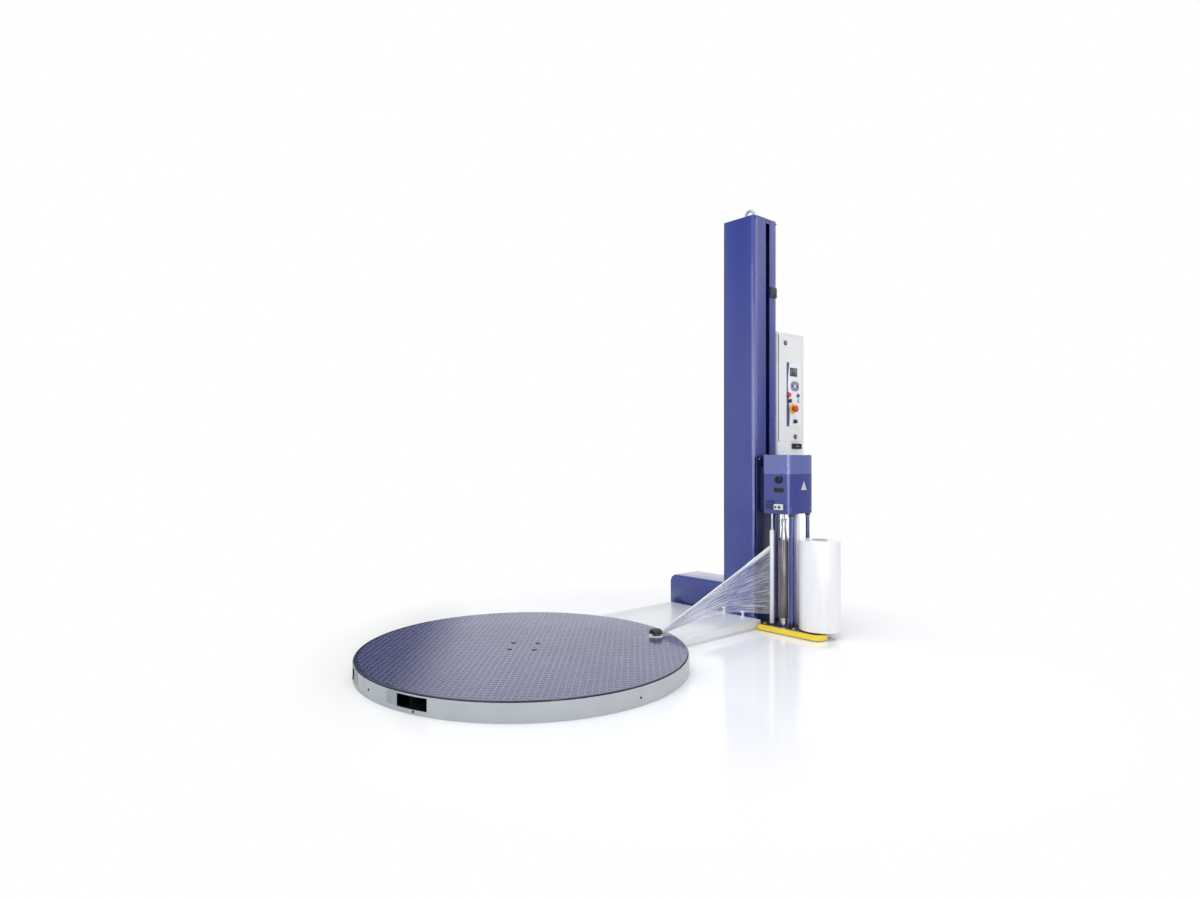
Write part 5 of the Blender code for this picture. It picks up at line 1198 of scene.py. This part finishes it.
# what is hidden or half hidden keeps the shape it has

hidden = {
    "turntable_hub": zincMetal,
    "turntable_sprocket": darkMetal,
    "motor_sprocket": darkMetal,
    "drive_chain": darkMetal,
    "turntable_gearmotor": castMetal,
    "lift_gearmotor": castMetal,
    "stretch_motor": castMetal,
    "lift_belt": beltRubber,
    "upper_pulley": darkMetal,
    "lower_pulley": darkMetal,
    **{f"support_roller_{number}": blackPlastic for number in range(1, 5)},
}


def buildDrive():
    for node, material in hidden.items():
        refine(node, material, 0.0004)
    print("drive ready")


# film web

web = {
    "across": 96,
    "along": 160,
    "folds": 11,
    "top": 0.468,
    "bottom": 0.090,
    "sag": 0.050,  # how far the lower edge rises towards the clamp before it joins the rope
    "rope": (0.088, 0.103),
    "wave": 0.0052,
    "hem": 0.0040,
    "hemStart": 0.965,  # the share of the height from which the upper edge is rolled over
    "width": 0.39,  # of the film as it comes off the rollers
    "tail": 0.02,  # what the clamp holds
}


# s runs from the roller to the clamp, and t from the lower edge to the upper. This gives how far the
# web swings aside there, and its height.
def shapeWeb(s, t):
    ropeLow, ropeHigh = web["rope"]
    upper = web["top"] + (ropeHigh - web["top"]) * s
    rise = web["sag"] * math.sin(math.pi * min(s, 1.0)) ** 1.3 * (1 - s * 0.25)
    lower = min(web["bottom"] + (ropeLow - web["bottom"]) * s**1.15 + rise, upper - 0.012)
    tight = 1 - (upper - lower) / (web["top"] - web["bottom"])
    swing = web["wave"] * (0.18 + tight) * min(1.0, s * 5)
    phase = math.tau * (web["folds"] * t + 0.25 * math.sin(3.1 * s + 5 * t))
    shift = swing * (math.sin(phase) + 0.35 * math.sin(2.3 * phase + 4 * s))
    height = lower + (upper - lower) * t + swing * 0.25 * math.cos(1.7 * phase) * t * (1 - t) * 4
    if t > web["hemStart"]:
        turn = (t - web["hemStart"]) / (1 - web["hemStart"]) * math.tau * 0.9
        height = upper - web["hem"] + web["hem"] * math.sin(turn) * 0.9
        shift += web["hem"] * (1 - math.cos(turn)) * 0.55
    return shift, height


def buildFilmWeb():
    (x, y, _), radius = rollers["exit_roller"][:2]
    start = Vector((x - radius - 0.0009, y, 0))
    _, _, middle, radius = measure("clamp_knob")
    center = Vector((middle.x, middle.y, 0))
    reach = (start - center).normalized()
    end = center + reach * (radius + 0.0008)
    bm = bmesh.new()
    uv = bm.loops.layers.uv.new("film")
    bmesh.ops.create_grid(bm, x_segments=web["along"], y_segments=web["across"], size=0.5)
    share = {vert: (vert.co.x + 0.5, vert.co.y + 0.5) for vert in bm.verts}
    for vert, (s, t) in share.items():
        shift, height = shapeWeb(s, t)
        vert.co = start.lerp(end, s) + Vector((-reach.y, reach.x, 0)) * shift
        vert.co.z = height
    for face in bm.faces:
        for loop in face.loops:
            s, t = share[loop.vert]
            loop[uv].uv = (1 - s, t)  # 0 at the clamp, 1 at the roller
    flatArea = round(sum(face.calc_area() for face in bm.faces), 4)
    piece = placePiece("filmWeb", bm, stretchedFilm, "film_clear", None, ("film_web",), 180)
    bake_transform(piece)
    print("film web ready, area", flatArea)


addCamera()
buildStudio()
buildTurntable()
buildClamp()
buildBase()
buildMast()
buildMotorCover()
buildHead()
buildRollers()
buildFilmRoll()
buildCarriage()
buildCabinet()
buildDrive()
buildFilmWeb()
